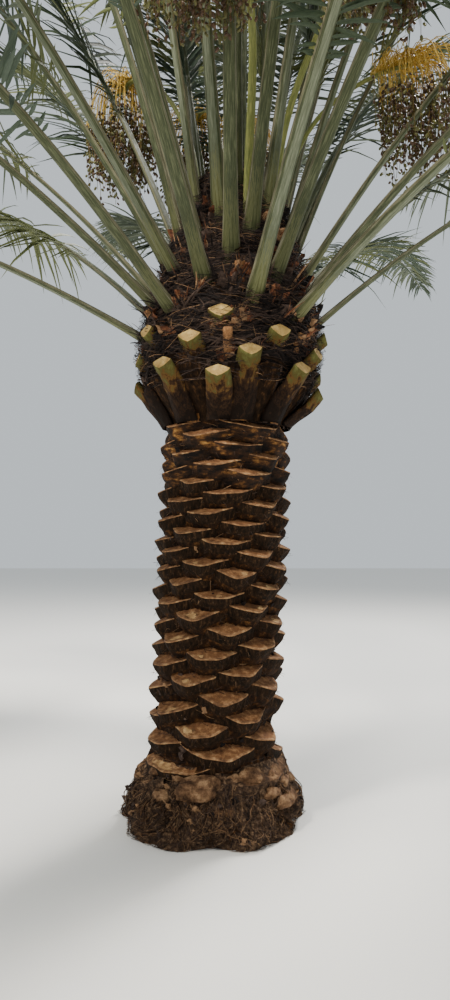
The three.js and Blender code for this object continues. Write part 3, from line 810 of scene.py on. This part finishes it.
def roots(boss, rng):
    """Thin roots that run down over the foot in clumps, with their dry ends."""
    clump = rng.uniform(0, 2 * np.pi, ROOT_CLUMPS)
    azimuth = rng.choice(clump, ROOTS) + rng.normal(0, 0.06, ROOTS)
    top = rng.uniform(0.04, 0.25, ROOTS)
    t = np.linspace(0, 1, 8)
    length = rng.uniform(0.3, 1, ROOTS)[:, None]
    h = top[:, None] * (1 - length * t) ** 0.8 + 0.006
    wander = rng.normal(0, 0.13, ROOTS)[:, None] * t
    a = azimuth[:, None] + wander + 0.02 * np.sin(t * 9 + azimuth[:, None] * 5)
    arch = 0.02 * np.sin(t * np.pi) * rng.random(ROOTS)[:, None]
    radius = along(STEM_PROFILE, h) + root_bump(a, h) + 0.008 + arch
    paths = trunk_point(a, np.minimum(radius, ROOT_LIMIT), h)
    size = rng.uniform(0.0015, 0.0045, ROOTS)[:, None] * (1 - 0.5 * t)
    tubes(boss, paths, size, 4, rng.choice(3, ROOTS, p=[0.6, 0.2, 0.2]))


def scrap(fibres, rng, azimuth, z, radius, size, slot):
    """A crumpled scrap of leaf sheath caught in the fibre or behind a leaf base."""
    u, v = np.meshgrid(np.linspace(-1, 1, 5), np.linspace(0, 1, 5))
    out, side = out_and_side(azimuth)
    lean = rng.normal(0, 0.7)
    rise = unit(UP * math.cos(lean) + side * math.sin(lean) + out * rng.uniform(-0.1, 0.5))
    flat = np.cross(out, rise)
    width = size * (0.5 - 0.2 * v + 0.12 * np.sin(7 * v + azimuth * 9))
    start = trunk_point(azimuth, radius - 0.004, z)
    sheet = start + (u * width)[..., None] * flat + (v * size)[..., None] * rise
    sheet += (0.3 * size * (1 - u**2) * (0.4 + v))[..., None] * out
    sheet += 0.16 * size * lumps(sheet, 0.018)[..., None] * out
    fibres.grid(sheet, slot=slot)


def build_trunk():
    rng = np.random.default_rng(11)
    bark = Gathered("bark", BARK_FINISHES)
    trunk_core(bark)
    for leaf in range(TRUNK_LEAVES):
        leaf_base(bark, leaf)
    bark.make("trunk_bark", "trunk")
    boss = Gathered("root_boss", [ROOT_MAT, BURR, BARK_CORE])
    burrs(boss, rng)
    roots(boss, rng)
    boss.make("trunk_bark")

    fibres = Gathered("bark_fibres", THREAD_FINISHES[:RUST], smooth=False)
    for leaf in range(TRUNK_LEAVES):
        rim_whiskers(fibres, leaf, rng)
    surface_fibres(
        fibres, rng, STEM_THREADS, 0.35, 1.98, lambda a, z: along(STEM_PROFILE, z) + 0.004,
        length=(0.05, 0.18), slant=0.5, lift=0.025, width=(0.0015, 0.0035), weights=[0.5, 0.4, 0.1],
    )
    surface_fibres(
        fibres, rng, FOOT_THREADS, 0.004, 0.25, lambda a, z: along(STEM_PROFILE, z) + root_bump(a, z),
        length=(0.02, 0.12), slant=1.6, lift=0.016, width=(0.001, 0.0032), weights=[0.3, 0.5, 0.2],
    )
    for _ in range(STEM_SCRAPS):
        azimuth, z = rng.uniform(0, 2 * np.pi), rng.uniform(0.36, 1.94)
        radius = along(STEM_PROFILE, z) + rng.uniform(0.004, 0.045)
        scrap(fibres, rng, azimuth, z, radius, rng.uniform(0.015, 0.04), rng.choice(3, p=[0.3, 0.5, 0.2]))
    for _ in range(FOOT_SCRAPS):
        azimuth, z = rng.uniform(0, 2 * np.pi), rng.uniform(0.03, 0.27)
        radius = along(STEM_PROFILE, z) + root_bump(azimuth, z)
        scrap(fibres, rng, azimuth, z, radius, rng.uniform(0.015, 0.045), rng.choice(3, p=[0.2, 0.35, 0.45]))
    fibres.make("trunk_bark")


# The head

# The finishes of the head's fibre: the first two are the threads' first, and so are their slots
HEAD_FINISHES = [FIBRE_DARK, FIBRE_BROWN_AND_GLINT, STAVE_AMBER_GLINT, STAVE_DARK, DRY_WOOD]
GLINTING_WOOD, DARK_WOOD, DRY = 2, 3, 4
SKIN, CUT = range(2)  # slots of a cut stalk's finishes
BOARDS = 17
ROPES = 620
HEAD_THREADS = 6500
TORN_SHEATHS = 60  # besides the tufts
FIBRE_HEIGHTS = (2.16, 3.3)  # between which threads and ropes lie


def fibre_bump(azimuth, z):
    fade = np.clip((z - TRUNK_TOP) / 0.15, 0, 1)
    return FIBRE_LUMP * fade * (np.sin(7 * azimuth + z / 0.055) + np.sin(4 * azimuth - z / 0.09))


def head_radius(azimuth, z):
    return along(HEAD_PROFILE, z) + fibre_bump(azimuth, z)


def head_core(head):
    """The matted fibre that the stalks and fronds stand in."""
    z = np.linspace(HEAD_START, HEAD_PROFILE[-1][0], 150)
    a, h = np.meshgrid(circle(180), z)
    radius = head_radius(a, h)
    points = trunk_point(a, radius, h)
    mats = lumps(points * np.array([0.5, 0.5, 2.2]), 0.06, 4) * np.clip((h - 2.12) / 0.1, 0.15, 1)
    radius = np.maximum(0.004, radius + 0.035 * mats - 0.016)
    head.grid(trunk_point(a, radius, h), closed=True)


# The outline of a stalk's section, across and up its thickness, anticlockwise
STALK_SECTION = np.array([
    (0.5, 0.04), (0.3, 0.2), (0, 0.4), (-0.3, 0.2), (-0.5, 0.04),
    (-0.43, -0.14), (-0.22, -0.42), (0, -0.58), (0.22, -0.42), (0.43, -0.14),
])
CUT_SLANT = 0.45  # how far a stalk's cut runs on along it, of its thickness
LAST_LONG_STAVE = 139  # the leaf bases above it end in the fibre
# How far back from the cut each ring of a stave is, how many of them a short one has, and how
# far back a long one starts to follow the head's own outline
STAVE_RINGS = [0, 0.003, 0.02, 0.045, 0.07, 0.1, 0.125, 0.15, 0.19, 0.25, 0.32, 0.4]
SHORT_RINGS = 9
HUG_START = 0.1


def stave(stalks, leaf):
    """A cut stalk: its pale cut, green sides, a band of painted amber glint and the dark base that it grew
    on.
    """
    nth = leaf - FIRST_STALK
    azimuth = azimuth_of(leaf)
    z = FIRST_STALK_TOP + STALK_RISE * nth + 0.01 * vary(leaf, 5)
    reach = STALK_REACH * (1 + 0.03 * vary(leaf, 6))
    lean = math.radians(mix(*STALK_LEAN, nth / STALK_LEAVES))
    out, side = out_and_side(azimuth)
    line = out * math.sin(lean) + UP * math.cos(lean)
    up = np.cross(line, side)
    top = trunk_point(azimuth, reach, z)
    width = STALK_WIDTH * (0.95 + 0.07 * vary(leaf, 21))
    long = leaf <= LAST_LONG_STAVE
    stations = STAVE_RINGS if long else STAVE_RINGS[:SHORT_RINGS]
    rings = []
    for back in stations:
        point = top - line * back
        if long and back > HUG_START:
            height = max(HEAD_START, z - HUG_START * math.cos(lean) - (back - HUG_START) * 0.97)
            follow = min(1, (back - HUG_START) / 0.08)
            free = reach - back * math.sin(lean)
            hug = along(HEAD_PROFILE, height) + 0.014
            point = trunk_point(azimuth, mix(free, hug, follow), height)
        spread = width * (1 + 0.2 * min(1, back / 0.25) - 0.04 * (back == 0))
        thick = STALK_THICKNESS * (1 - 0.06 * (back == 0))
        slant = CUT_SLANT * thick * STALK_SECTION[:, 1] * max(0, 1 - back / 0.05)
        ring = point + STALK_SECTION[:, :1] * spread * side + STALK_SECTION[:, 1:] * thick * up
        ring = ring + slant[:, None] * line
        ring[:, 2] = np.maximum(ring[:, 2], HEAD_START)
        rings.append(ring)
    rings = np.stack(rings)
    rings[3:] += 0.006 * lumps(rings[3:] * np.array([1, 1, 0.3]), 0.02)[..., None] * out
    v = np.array(stations)[:, None] * (1 + 0.25 * vary(leaf, 23))
    uvs = uv_map(rings.shape[:2], np.arange(len(STALK_SECTION)) * 0.02, v)
    stalks.grid(rings, uvs, closed=True, slot=SKIN, flip=True)
    stalks.cap(rings[0], rings[0].mean(axis=0) - line * 0.002, CUT)


def boards(head, rng):
    """Old leaf bases that show dark and flat under the head, between the staves."""
    for nth in range(BOARDS):
        azimuth = nth * 2 * math.pi / BOARDS + rng.uniform(-0.1, 0.1)
        height = np.linspace(HEAD_START, rng.uniform(2.19, 2.32), 9)[:, None]
        across = np.linspace(-1, 1, 9)
        half = rng.uniform(0.16, 0.24)
        rise = height - TRUNK_TOP
        radius = along(HEAD_PROFILE, height) + 0.002 + 0.02 * (1 - across**2) * (0.4 + rise * 2.2)
        place = azimuth + half * across * (1.15 - 0.9 * rise) + rng.uniform(-0.3, 0.3) * rise
        board = trunk_point(place, radius, height)
        board += 0.004 * lumps(board * np.array([1, 1, 0.25]), 0.02)[..., None] * outward(azimuth)
        shades = np.full((8, 8), DARK_WOOD)
        shades[:, [0, 7]] = BROWN_AND_GLINT
        # Every other board has a painted amber glint across its lower end
        shades[0, 2:6] = GLINTING_WOOD if nth % 2 else DARK_WOOD
        head.grid(board, slot=shades.ravel())


# Dry stubs and tufts of torn sheath on the head: degrees round it, height, width, length
DRY_STUBS = [
    (269, 2.31, 0.046, 0.085), (275, 2.67, 0.05, 0.06), (206, 2.5, 0.045, 0.06), (318, 2.36, 0.05, 0.05),
    (150, 2.44, 0.05, 0.06), (40, 2.5, 0.045, 0.06), (95, 2.38, 0.05, 0.07),
]
TUFTS = [
    (274, 2.42), (277, 2.43), (271, 2.42), (260, 2.38), (262, 2.4), (269, 2.26), (270, 2.28), (279, 2.6),
    (281, 2.62), (275, 2.69), (273, 2.67), (270, 2.61), (298, 2.56), (315, 2.47), (322, 2.35), (320, 2.4),
    (233, 2.38), (238, 2.54), (305, 2.88), (317, 2.76), (295, 3.0), (252, 3.0), (244, 2.95), (286, 3.2),
    (330, 2.55), (212, 2.6), (150, 2.5), (120, 2.42), (80, 2.55), (45, 2.4), (15, 2.5), (175, 2.38),
]


def dry_stubs(head):
    """Small brown stumps of fruit stalks that were cut in other years."""
    turn = circle(8)[:, None]
    for degrees, z, width, length in DRY_STUBS:
        azimuth = math.radians(degrees)
        out, side = out_and_side(azimuth)
        line = unit(out * 0.55 + UP * 0.85)
        up = np.cross(line, side)
        start = trunk_point(azimuth, along(HEAD_PROFILE, z) - 0.01, z)
        back = np.array([-0.05, 0, 0.5 * length, 0.92 * length, length])
        size = np.array([1.1, 1, 1, 1.02, 0.94])
        ring = side * np.cos(turn) * 0.5 + up * np.sin(turn) * 0.34
        skin = start + line * back[:, None, None] + ring * (width * size)[:, None, None]
        skin += 0.003 * lumps(skin * np.array([1, 1, 0.3]), 0.015)[..., None] * out
        head.grid(skin, closed=True, slot=DRY)
        head.cap(skin[-1], skin[-1].mean(axis=0), DRY)


def ropes(head, rng):
    """Twisted cords of matted fibre that wrap round between the stalks."""
    count = ROPES
    t = np.linspace(0, 1, 9)
    z = 2.2 + np.where(rng.random(count) < 0.6, rng.uniform(0, 0.5, count), rng.uniform(0, 0.95, count))
    reach = rng.uniform(0.07, 0.3, count)[:, None]
    slant = rng.normal(0, 0.42, count)[:, None]
    turn = rng.uniform(0, 2 * np.pi, count)[:, None]
    waves = rng.uniform(4, 11, count)[:, None]
    h = z[:, None] + reach * (t - 0.5) * np.sin(slant) + 0.016 * np.sin(t * waves + turn)
    h = np.clip(h, *FIBRE_HEIGHTS)
    a = turn + reach * (t - 0.5) * np.cos(slant) / along(HEAD_PROFILE, h)
    lift = 0.002 + 0.022 * np.sin(np.pi * t) * rng.uniform(0, 1, count)[:, None] ** 2
    paths = trunk_point(a, head_radius(a, h) + lift - 0.006, h)
    radii = rng.uniform(0.002, 0.009, count)[:, None] * (0.3 + 0.7 * np.sin(np.pi * t) ** 0.6)
    # The grey-brown ropes partly stand for painted glints on the fibre
    slots = rng.choice([DARK, DARK_WOOD, BROWN_AND_GLINT], count, p=[0.5, 0.22, 0.28])
    tubes(head, paths, radii, 5, slots)


def torn_sheath(fibres, rng, azimuth, z, size, rust):
    """A small fan of frayed strips of leaf sheath that stands out of the fibre."""
    strips = rng.integers(6, 12)
    fan = rng.uniform(-0.5, 0.5, strips)
    length = size * rng.uniform(0.5, 1.2, strips)
    lean = rng.uniform(-1.2, 1.2)
    out, side = out_and_side(azimuth)
    start = trunk_point(azimuth, head_radius(azimuth, z) - 0.01, z) + fan[:, None] * 0.5 * size * side
    way = UP * math.cos(lean) + side * math.sin(lean) + out * rng.uniform(0.15, 0.7)
    way = unit(way + fan[:, None] * side * 0.8 + rng.normal(0, 0.25, (strips, 3)))
    t = np.linspace(0, 1, 6)[:, None]
    curl = out * rng.uniform(-0.3, 0.3) + rng.normal(0, 0.4, (strips, 1, 3))
    paths = start[:, None] + length[:, None, None] * (way[:, None] * t + curl * t**2)
    widths = rng.uniform(0.0025, 0.009, strips)[:, None] * np.array([1, 1, 0.95, 0.8, 0.55, 0.15])
    facing = np.broadcast_to(out + 0.3 * side, paths.shape)
    slots = rng.choice([RUST, TAN, BROWN_AND_GLINT], strips, p=[rust, 0.6 * (1 - rust), 0.4 * (1 - rust)])
    ribbons(fibres, paths, widths, facing, slots)


def sheath_plates(fibres, rng):
    """Stiff remains of sheath, split lengthwise, that stand between the lower fronds."""
    for leaf in range(FIRST_FROND, FIRST_FROND + FRONDS - 4):
        shape = frond_shape(leaf)
        out, flat = out_and_side(shape["azimuth"])
        line = out * math.sin(shape["lean"]) + UP * math.cos(shape["lean"])
        for hand in (-1, 1):
            strips = rng.integers(3, 7)
            z = shape["z"] + rng.uniform(-0.05, 0.02, strips)
            azimuth = shape["azimuth"] + hand * (0.05 + rng.uniform(0, 0.09, strips)) / along(HEAD_PROFILE, z)
            start = trunk_point(azimuth, along(HEAD_PROFILE, z) - 0.012, z)
            way = unit(line + hand * 0.12 * flat + rng.normal(0, 0.2, (strips, 3)))
            length = rng.uniform(0.05, 0.17, strips)[:, None, None]
            t = np.linspace(0, 1, 6)[:, None]
            paths = start[:, None] + length * (way[:, None] * t + rng.normal(0, 0.16, (strips, 1, 3)) * t**2)
            widths = rng.uniform(0.004, 0.014, strips)[:, None] * np.array([1, 1, 0.9, 0.7, 0.45, 0.1])
            facing = np.broadcast_to(outward(azimuth)[:, None], paths.shape)
            slots = rng.choice([RUST, TAN, BROWN_AND_GLINT, DARK], strips, p=[0.22, 0.05, 0.33, 0.4])
            ribbons(fibres, paths, widths, facing, slots)
            low = z[0] - 0.02
            size = rng.uniform(0.04, 0.08)
            shade = rng.choice([RUST, BROWN_AND_GLINT, DARK])
            scrap(fibres, rng, azimuth[0], low, head_radius(azimuth[0], low), size, shade)


def build_head():
    rng = np.random.default_rng(23)
    head = Gathered("head_fibre", HEAD_FINISHES)
    head_core(head)
    boards(head, rng)
    dry_stubs(head)
    ropes(head, rng)
    head.make("crown_fibre", "crown_head")
    stalks = Gathered("cut_stalks", [STALK_SKIN, STUB_CUT])
    for leaf in range(FIRST_STALK, FIRST_FROND):
        stave(stalks, leaf)
    stalks.make("crown_fibre")

    fibres = Gathered("head_threads", THREAD_FINISHES, smooth=False)
    surface_fibres(
        fibres, rng, HEAD_THREADS, *FIBRE_HEIGHTS, lambda a, z: along(HEAD_PROFILE, z) + 0.002,
        length=(0.08, 0.34), slant=0.32, lift=0.035, width=(0.001, 0.0038), weights=[0.58, 0.37, 0.05, 0],
    )
    for degrees, z in TUFTS:
        for _ in range(4):
            azimuth, height = math.radians(degrees + rng.normal(0, 2.5)), z + rng.normal(0, 0.015)
            torn_sheath(fibres, rng, azimuth, height, 0.045, 0.5)
            size, shade = rng.uniform(0.03, 0.06), rng.choice([RUST, RUST, TAN, BROWN_AND_GLINT])
            scrap(fibres, rng, azimuth, height, head_radius(azimuth, height), size, shade)
    for _ in range(TORN_SHEATHS):
        azimuth, height = rng.uniform(0, 2 * np.pi), rng.uniform(2.3, 3.25)
        torn_sheath(fibres, rng, azimuth, height, rng.uniform(0.03, 0.07), 0.3)
    sheath_plates(fibres, rng)
    fibres.make("crown_fibre")


# Lines that bow over, for fronds and fruit stalks

BOW_STEPS = 80


def bowed_line(shape, stations):
    """Points along a bowed stalk, with the way along it, across it and up from it at each."""
    def frames(share):
        eased = np.maximum(0, share)
        angle = shape["lean"] + shape["bend"] * eased**1.35
        heading = shape["azimuth"] + shape.get("sway", 0) * eased**2
        line = outward(heading) * np.sin(angle)[:, None]
        line[:, 2] = np.cos(angle)
        turn = (shape.get("twist", 0) * eased**1.5)[:, None]
        flat = outward(heading + np.pi / 2)
        side = flat * np.cos(turn) + np.cross(line, flat) * np.sin(turn)
        return line, side, np.cross(line, side)

    length = shape["length"]
    line, _, _ = frames((np.arange(BOW_STEPS) + 0.5) / BOW_STEPS)
    path = shape["start"] + np.vstack([np.zeros(3), np.cumsum(line, axis=0) * length / BOW_STEPS])
    share = np.asarray(stations) / length
    marks = np.linspace(0, 1, BOW_STEPS + 1)
    points = np.stack([np.interp(share, marks, path[:, i]) for i in range(3)], axis=1)
    line, side, up = frames(share)
    points += line * np.minimum(0, np.asarray(stations))[:, None]
    return points, line, side, up


def frond_shape(leaf):
    nth = leaf - FIRST_FROND
    age = nth / (FRONDS - 1)
    z = FIRST_FROND_RISE + FROND_RISE * nth + 0.006 * vary(leaf, 7)
    azimuth = azimuth_of(leaf) + math.radians(3 * vary(leaf, 8))
    length = FROND_LENGTH * mix(1, YOUNGEST_SHARE, age**4) * (1 + 0.05 * vary(leaf, 9))
    newest = max(0, nth - (FRONDS - 1 - SPEARS)) / SPEARS
    return {
        "z": z,
        "start": trunk_point(azimuth, along(HEAD_PROFILE, z) - 0.012, z),
        "azimuth": azimuth,
        "lean": math.radians(mix(*FROND_LEAN, age**0.92) + 2.5 * vary(leaf, 10)),
        "bend": math.radians(mix(*FROND_BEND, age) * (1 + 0.15 * vary(leaf, 11))),
        "sway": math.radians(FROND_SWAY * vary(leaf, 12) * (1 - age)),
        "twist": math.radians(FROND_TWIST * vary(leaf, 13)),
        "length": length,
        "bare": BARE_LENGTH * (length / FROND_LENGTH) * (1 + 0.06 * vary(leaf, 14)),
        "openness": 1 - 0.75 * newest,
        "slimness": 1 - 0.35 * newest,
    }


def rib_width(shape, at):
    left = np.maximum(0, 1 - np.maximum(0, at) / shape["length"])
    flare = RIB_FLARE * np.exp(-np.maximum(0, at) / 0.15)
    return (RIB_WIDTH * left + TIP_WIDTH + flare) * shape["slimness"]


def rib_thickness(shape, at):
    return 0.005 + 0.46 * rib_width(shape, at)


# A rib's section: channelled above, sharp edges, rounded below
RIB_SECTION = np.array([
    (0.5, 0.3), (0.3, 0.24), (0, 0.17), (-0.3, 0.24), (-0.5, 0.3),
    (-0.5, 0.16), (-0.44, -0.08), (-0.3, -0.34), (-0.12, -0.52),
    (0.12, -0.52), (0.3, -0.34), (0.44, -0.08), (0.5, 0.16),
])
MIDDLE, SHADED_SIDE, EDGE = range(3)  # slots of the ribs' finishes
# Painted shade in the channel and on the lower flanks of each rib
RIB_SLOTS = np.array([
    MIDDLE, SHADED_SIDE, SHADED_SIDE, MIDDLE, EDGE, EDGE, SHADED_SIDE, MIDDLE, MIDDLE, MIDDLE, SHADED_SIDE, EDGE, EDGE,
])
SHADED_RIB_TRAIT = 0.15  # stalks whose trait is above it are painted in shade all round


def frond_rib(ribs, shape, leaf):
    length = shape["length"]
    stations = np.concatenate([
        [-0.12, -0.04, 0, 0.04, 0.08, 0.13, 0.2, 0.3, 0.42], np.linspace(0.55, 0.96 * length, 34),
        [0.985 * length, length],
    ])
    points, line, side, up = bowed_line(shape, stations)
    width = rib_width(shape, stations)
    thick = rib_thickness(shape, stations)
    rings = (
        points[:, None]
        + RIB_SECTION[:, :1] * width[:, None, None] * side[:, None]
        + RIB_SECTION[:, 1:] * thick[:, None, None] * up[:, None]
    )
    uvs = uv_map(rings.shape[:2], np.linspace(0, 1, len(RIB_SECTION)) * 0.16, stations[:, None])
    slots = np.tile(RIB_SLOTS, len(stations) - 1)
    # Some stalks are painted in shade all round
    if vary(leaf, 24) > SHADED_RIB_TRAIT:
        slots[slots == MIDDLE] = SHADED_SIDE
    ribs.grid(rings, uvs, closed=True, slot=slots, flip=True)


# Shares of a leaflet's length, with its width there, and how deep its fold is, of its width
LEAFLET_STATIONS = np.array([0, 0.1, 0.4, 0.75, 1])
LEAFLET_WIDTHS = np.array([0.3, 0.85, 1, 0.62, 0.03])
FOLD = 0.3
FIRST_SPINE = (0.78, 1.02)  # where the first short leaflet stands, of the bare length, old to young
DROOP = 1.5  # how steeply the lowest leaflets hang
DROOP_END = 0.5  # share of the blade along which that fades
DROOPING_FRONDS = 34
LOW_FRONDS = 13  # over which the first leaflets move up the stalk
SPRAY = 13  # leaflets of one green


def leaflets(greens, shape, leaf, rng):
    """Both rows of a frond's folded leaflets, in small groups that stand at different angles."""
    nth = np.tile(np.arange(LEAFLETS), 2)
    hand = np.repeat([1, -1], LEAFLETS)
    count = len(nth)
    share = (nth + 0.5 + rng.uniform(-0.3, 0.3, count)) / LEAFLETS
    young = min(1, (leaf - FIRST_FROND) / LOW_FRONDS)
    at = mix(mix(*FIRST_SPINE, young) * shape["bare"], 0.985 * shape["length"], share)
    points, line, side, up = bowed_line(shape, at)
    beside = side * (hand * 0.46 * rib_width(shape, at))[:, None]
    root = points + beside + up * (0.22 * rib_thickness(shape, at))[:, None]

    # The way each leaflet points, and how far
    rank = np.array([0, 1, -1, 0.5])[(nth + leaf) % 4]
    angle = np.radians(mix(*LEAFLET_ANGLES, share) + rng.normal(0, 4, count)) * shape["openness"]
    rise = np.radians(14 + 20 * rank + rng.normal(0, 6, count)) * shape["openness"]
    length = LEAFLET_LENGTH * (1 - 0.42 * (2 * share - 0.8) ** 2) * rng.uniform(0.82, 1.02, count)
    grown = np.clip((share - 0.01) / 0.07, 0, 1)
    length *= mix(0.22, 1, grown)
    across = side * (hand * np.cos(rise))[:, None] + up * np.sin(rise)[:, None]
    way = across * np.sin(angle)[:, None] + line * np.cos(angle)[:, None]
    limp = (0.6 + 0.4 * vary(leaf, 25)) * max(0, 1 - (leaf - FIRST_FROND) / DROOPING_FRONDS) ** 0.5
    hang = DROOP * limp * np.maximum(0, 1 - share / DROOP_END) * rng.uniform(0.2, 1, count)
    way = unit(way - hang[:, None] * UP)
    sag = (rng.uniform(0.06, 0.36, count) + 0.4 * rng.uniform(0, 1, count) ** 3) * shape["openness"]
    sag *= grown
    t = LEAFLET_STATIONS[:, None]
    spine = root[:, None] + way[:, None] * length[:, None, None] * t
    spine = spine - UP * (sag * length)[:, None, None] * t**2.2

    # The blade on both sides of its fold
    normal = unit(np.cross(line, across) * hand[:, None] + 0.25 * rng.normal(0, 1, (count, 3)))
    flat = unit(np.cross(way, normal))
    normal = np.cross(flat, way)
    half = 0.5 * LEAFLET_WIDTH * rng.uniform(0.8, 1.1, count)[:, None] * LEAFLET_WIDTHS
    half = half * mix(0.55, 1, np.minimum(1, length / 0.35))[:, None]
    edge = flat[:, None] * half[..., None]
    fold = normal[:, None] * (2 * FOLD * half)[..., None]
    blade = np.stack([spine - edge + fold, spine, spine + edge + fold], axis=2)
    deal_out(greens, leaf, nth, blade)


def deal_out(greens, leaf, nth, blade):
    """Gives each spray of a frond's leaflets to one of the greens."""
    v = LEAFLET_STATIONS[:, None] * 0.45 + nth[:, None, None] * 0.37
    uvs = uv_map(blade.shape[:3], np.array([0, 0.5, 1.0]) * 0.05, v)
    spray = nth // SPRAY
    kind = (leaf * 3 + spray * 5 + (spray * leaf) % 7) % len(greens)
    rows, columns = blade.shape[1:3]
    for index, gathered in enumerate(greens):
        chosen = kind == index
        faces = repeat_faces(grid_faces(rows, columns), chosen.sum(), rows * columns)
        gathered.add(blade[chosen], faces, uvs[chosen])


def build_fronds():
    rng = np.random.default_rng(37)
    ribs = Gathered("frond_ribs", [RIB_MIDDLE, RIB_SHADED, RIB_EDGE])
    greens = [Gathered(f"leaflets_{i + 1}", [finish]) for i, finish in enumerate(LEAFLET_GREENS)]
    for leaf in range(FIRST_FROND, FIRST_FROND + FRONDS):
        shape = frond_shape(leaf)
        frond_rib(ribs, shape, leaf)
        leaflets(greens, shape, leaf, rng)
    nodes = [f"frond_{n:02d}" for n in range(1, FRONDS + 1)]
    ribs.make("frond_green", *nodes)
    for gathered in greens:
        gathered.make("frond_green")


# The fruit

GOLD, GREEN, STRAND_END = range(3)  # slots of the strands' finishes


def catmull(points, t):
    """A smooth line through four points for each thread, at shares t of it."""
    before = 2 * points[:, :1] - points[:, 1:2]
    after = 2 * points[:, -1:] - points[:, -2:-1]
    p = np.concatenate([before, points, after], axis=1)
    spans = points.shape[1] - 1
    at = np.clip(t * spans, 0, spans - 1e-6)
    k = at.astype(int)
    f = (at - k)[:, None]
    a, b, c, d = p[:, k], p[:, k + 1], p[:, k + 2], p[:, k + 3]
    return 0.5 * (2 * b + (c - a) * f + (2 * a - 5 * b + 4 * c - d) * f**2 + (3 * b - a - 3 * c + d) * f**3)


def fruit_stalk(stalks, bunch):
    """The arching stalk of a bunch. It gives back the point and the way at its end."""
    axil = frond_shape(FIRST_FROND + bunch["frond"] - 1)
    azimuth = axil["azimuth"] + math.radians(bunch["turn"])
    z = axil["z"] + bunch["rise"]
    length = bunch["length"]
    shape = {
        "start": trunk_point(azimuth, along(HEAD_PROFILE, z) - 0.01, z),
        "azimuth": azimuth,
        "lean": math.radians(bunch["lean"]),
        "bend": math.radians(BUNCH_BEND),
        "sway": math.radians(bunch["sway"]),
        "length": length,
    }
    stations = np.concatenate([[-0.06], np.linspace(0, length, 26), [length + KNOT_LENGTH]])
    points, line, side, up = bowed_line(shape, stations)
    points[-1] = points[-2] + line[-2] * KNOT_LENGTH
    width = BUNCH_STALK_WIDTH * (1.35 - 0.5 * np.clip(stations / length, 0, 1))
    turn = circle(10)
    ring = side[:, None] * np.cos(turn)[:, None] * 0.5 + up[:, None] * np.sin(turn)[:, None] * 0.32
    skin = points[:, None] + ring * width[:, None, None]
    stalks.grid(skin, uv_map(skin.shape[:2], turn / 60, stations[:, None]), closed=True)
    return points[-2], line[-2]


def strand_curves(end, onward, rng):
    """Four points for each strand of a bunch, which spreads from the stalk's end and hangs."""
    root = end + onward * rng.uniform(-0.16, KNOT_LENGTH, STRANDS)[:, None]
    around = outward(rng.uniform(0, 2 * np.pi, STRANDS))
    spread = (STRAND_SPREAD * np.sqrt(rng.uniform(0.02, 1, STRANDS)) * 1.1)[:, None]
    reach = (STRAND_LENGTH * rng.uniform(0.72, 1.05, STRANDS))[:, None]
    first = root + onward * 0.2 * reach + around * 0.68 * spread
    first[:, 2] += 0.08 * reach[:, 0]
    second = root + onward * 0.3 * reach + around * spread
    second[:, 2] = root[:, 2] - 0.26 * reach[:, 0]
    third = root + onward * 0.3 * reach + around * 0.9 * spread
    third[:, 2] = root[:, 2] - 0.92 * reach[:, 0]
    return np.stack([root, first, second, third], axis=1)


def hang_strands(strands, curves, shade, rng):
    """The strands along their curves, a little crooked, with dark lower ends."""
    t = np.linspace(0, 1, STRAND_POINTS)
    lengths = STRAND_POINTS - 1
    paths = catmull(curves, t)
    paths[:, 1:] += 0.006 * rng.normal(0, 1, (STRANDS, lengths, 3)) * np.linspace(0.3, 1, lengths)[:, None]
    radii = np.broadcast_to(mix(0.003, 0.0015, t), paths.shape[:2])
    slots = np.full((STRANDS, lengths), shade)
    slots[:, 8:] = STRAND_END
    tubes(strands, paths, radii, 3, slots)


def hang_dates(dates, curves, rng):
    """Dates round the lower part of each strand, the ripe ones brown."""
    spots = catmull(curves, np.linspace(0.7, 0.99, DATES_ON_STRAND))
    tangent = unit(np.gradient(spots, axis=1)).reshape(-1, 3)
    spots = spots.reshape(-1, 3)
    count = len(spots)
    away = unit(np.cross(tangent, rng.normal(0, 1, (count, 3))))
    axis = unit(away * 0.7 - UP * 0.75)
    spots = spots + away * DATE_SIZE[0] * 1.2 + axis * DATE_SIZE[1] * 0.4
    across = unit(np.cross(axis, np.array([0.3, 0.9, 0.2])))
    up = np.cross(axis, across)
    rise = np.array([0.25, 1.05, 2.1, 2.9])[:, None, None]
    turn = circle(5)[:, None]
    ring = across[:, None, None] * np.cos(turn) + up[:, None, None] * np.sin(turn)
    body = ring * np.sin(rise) * DATE_SIZE[0] - axis[:, None, None] * np.cos(rise) * DATE_SIZE[1]
    body = spots[:, None, None] + body * rng.uniform(0.8, 1.1, count)[:, None, None, None]
    ripe = rng.random(count) < RIPE_SHARE
    one = grid_faces(len(rise), len(turn), True)
    for gathered, chosen in zip(dates, (ripe, ~ripe)):
        faces = repeat_faces(one, chosen.sum(), len(rise) * len(turn))
        gathered.add(body[chosen], faces)


def build_fruit():
    rng = np.random.default_rng(53)
    stalks = Gathered("fruit_stalks", [BUNCH_STALK_FINISH])
    strands = Gathered("fruit_strands", [STRAND_GOLD, STRAND_GREEN, STRAND_DARK])
    dates = [Gathered("dates_brown", [DATE_BROWN]), Gathered("dates_olive", [DATE_OLIVE])]
    for nth, bunch in enumerate(BUNCHES):
        end, onward = fruit_stalk(stalks, bunch)
        curves = strand_curves(end, onward, rng)
        hang_strands(strands, curves, GREEN if nth == GREEN_BUNCH else GOLD, rng)
        hang_dates(dates, curves, rng)
    numbers = range(1, len(BUNCHES) + 1)
    stalks.make("fruit_stalk", *[f"fruit_stalk_{n}" for n in numbers])
    strands.make("date_strands", *[f"fruit_bunch_{n}" for n in numbers])
    for gathered in dates:
        gathered.make("date_strands")


add_camera()
add_studio()
build_trunk()
build_head()
build_fronds()
build_fruit()
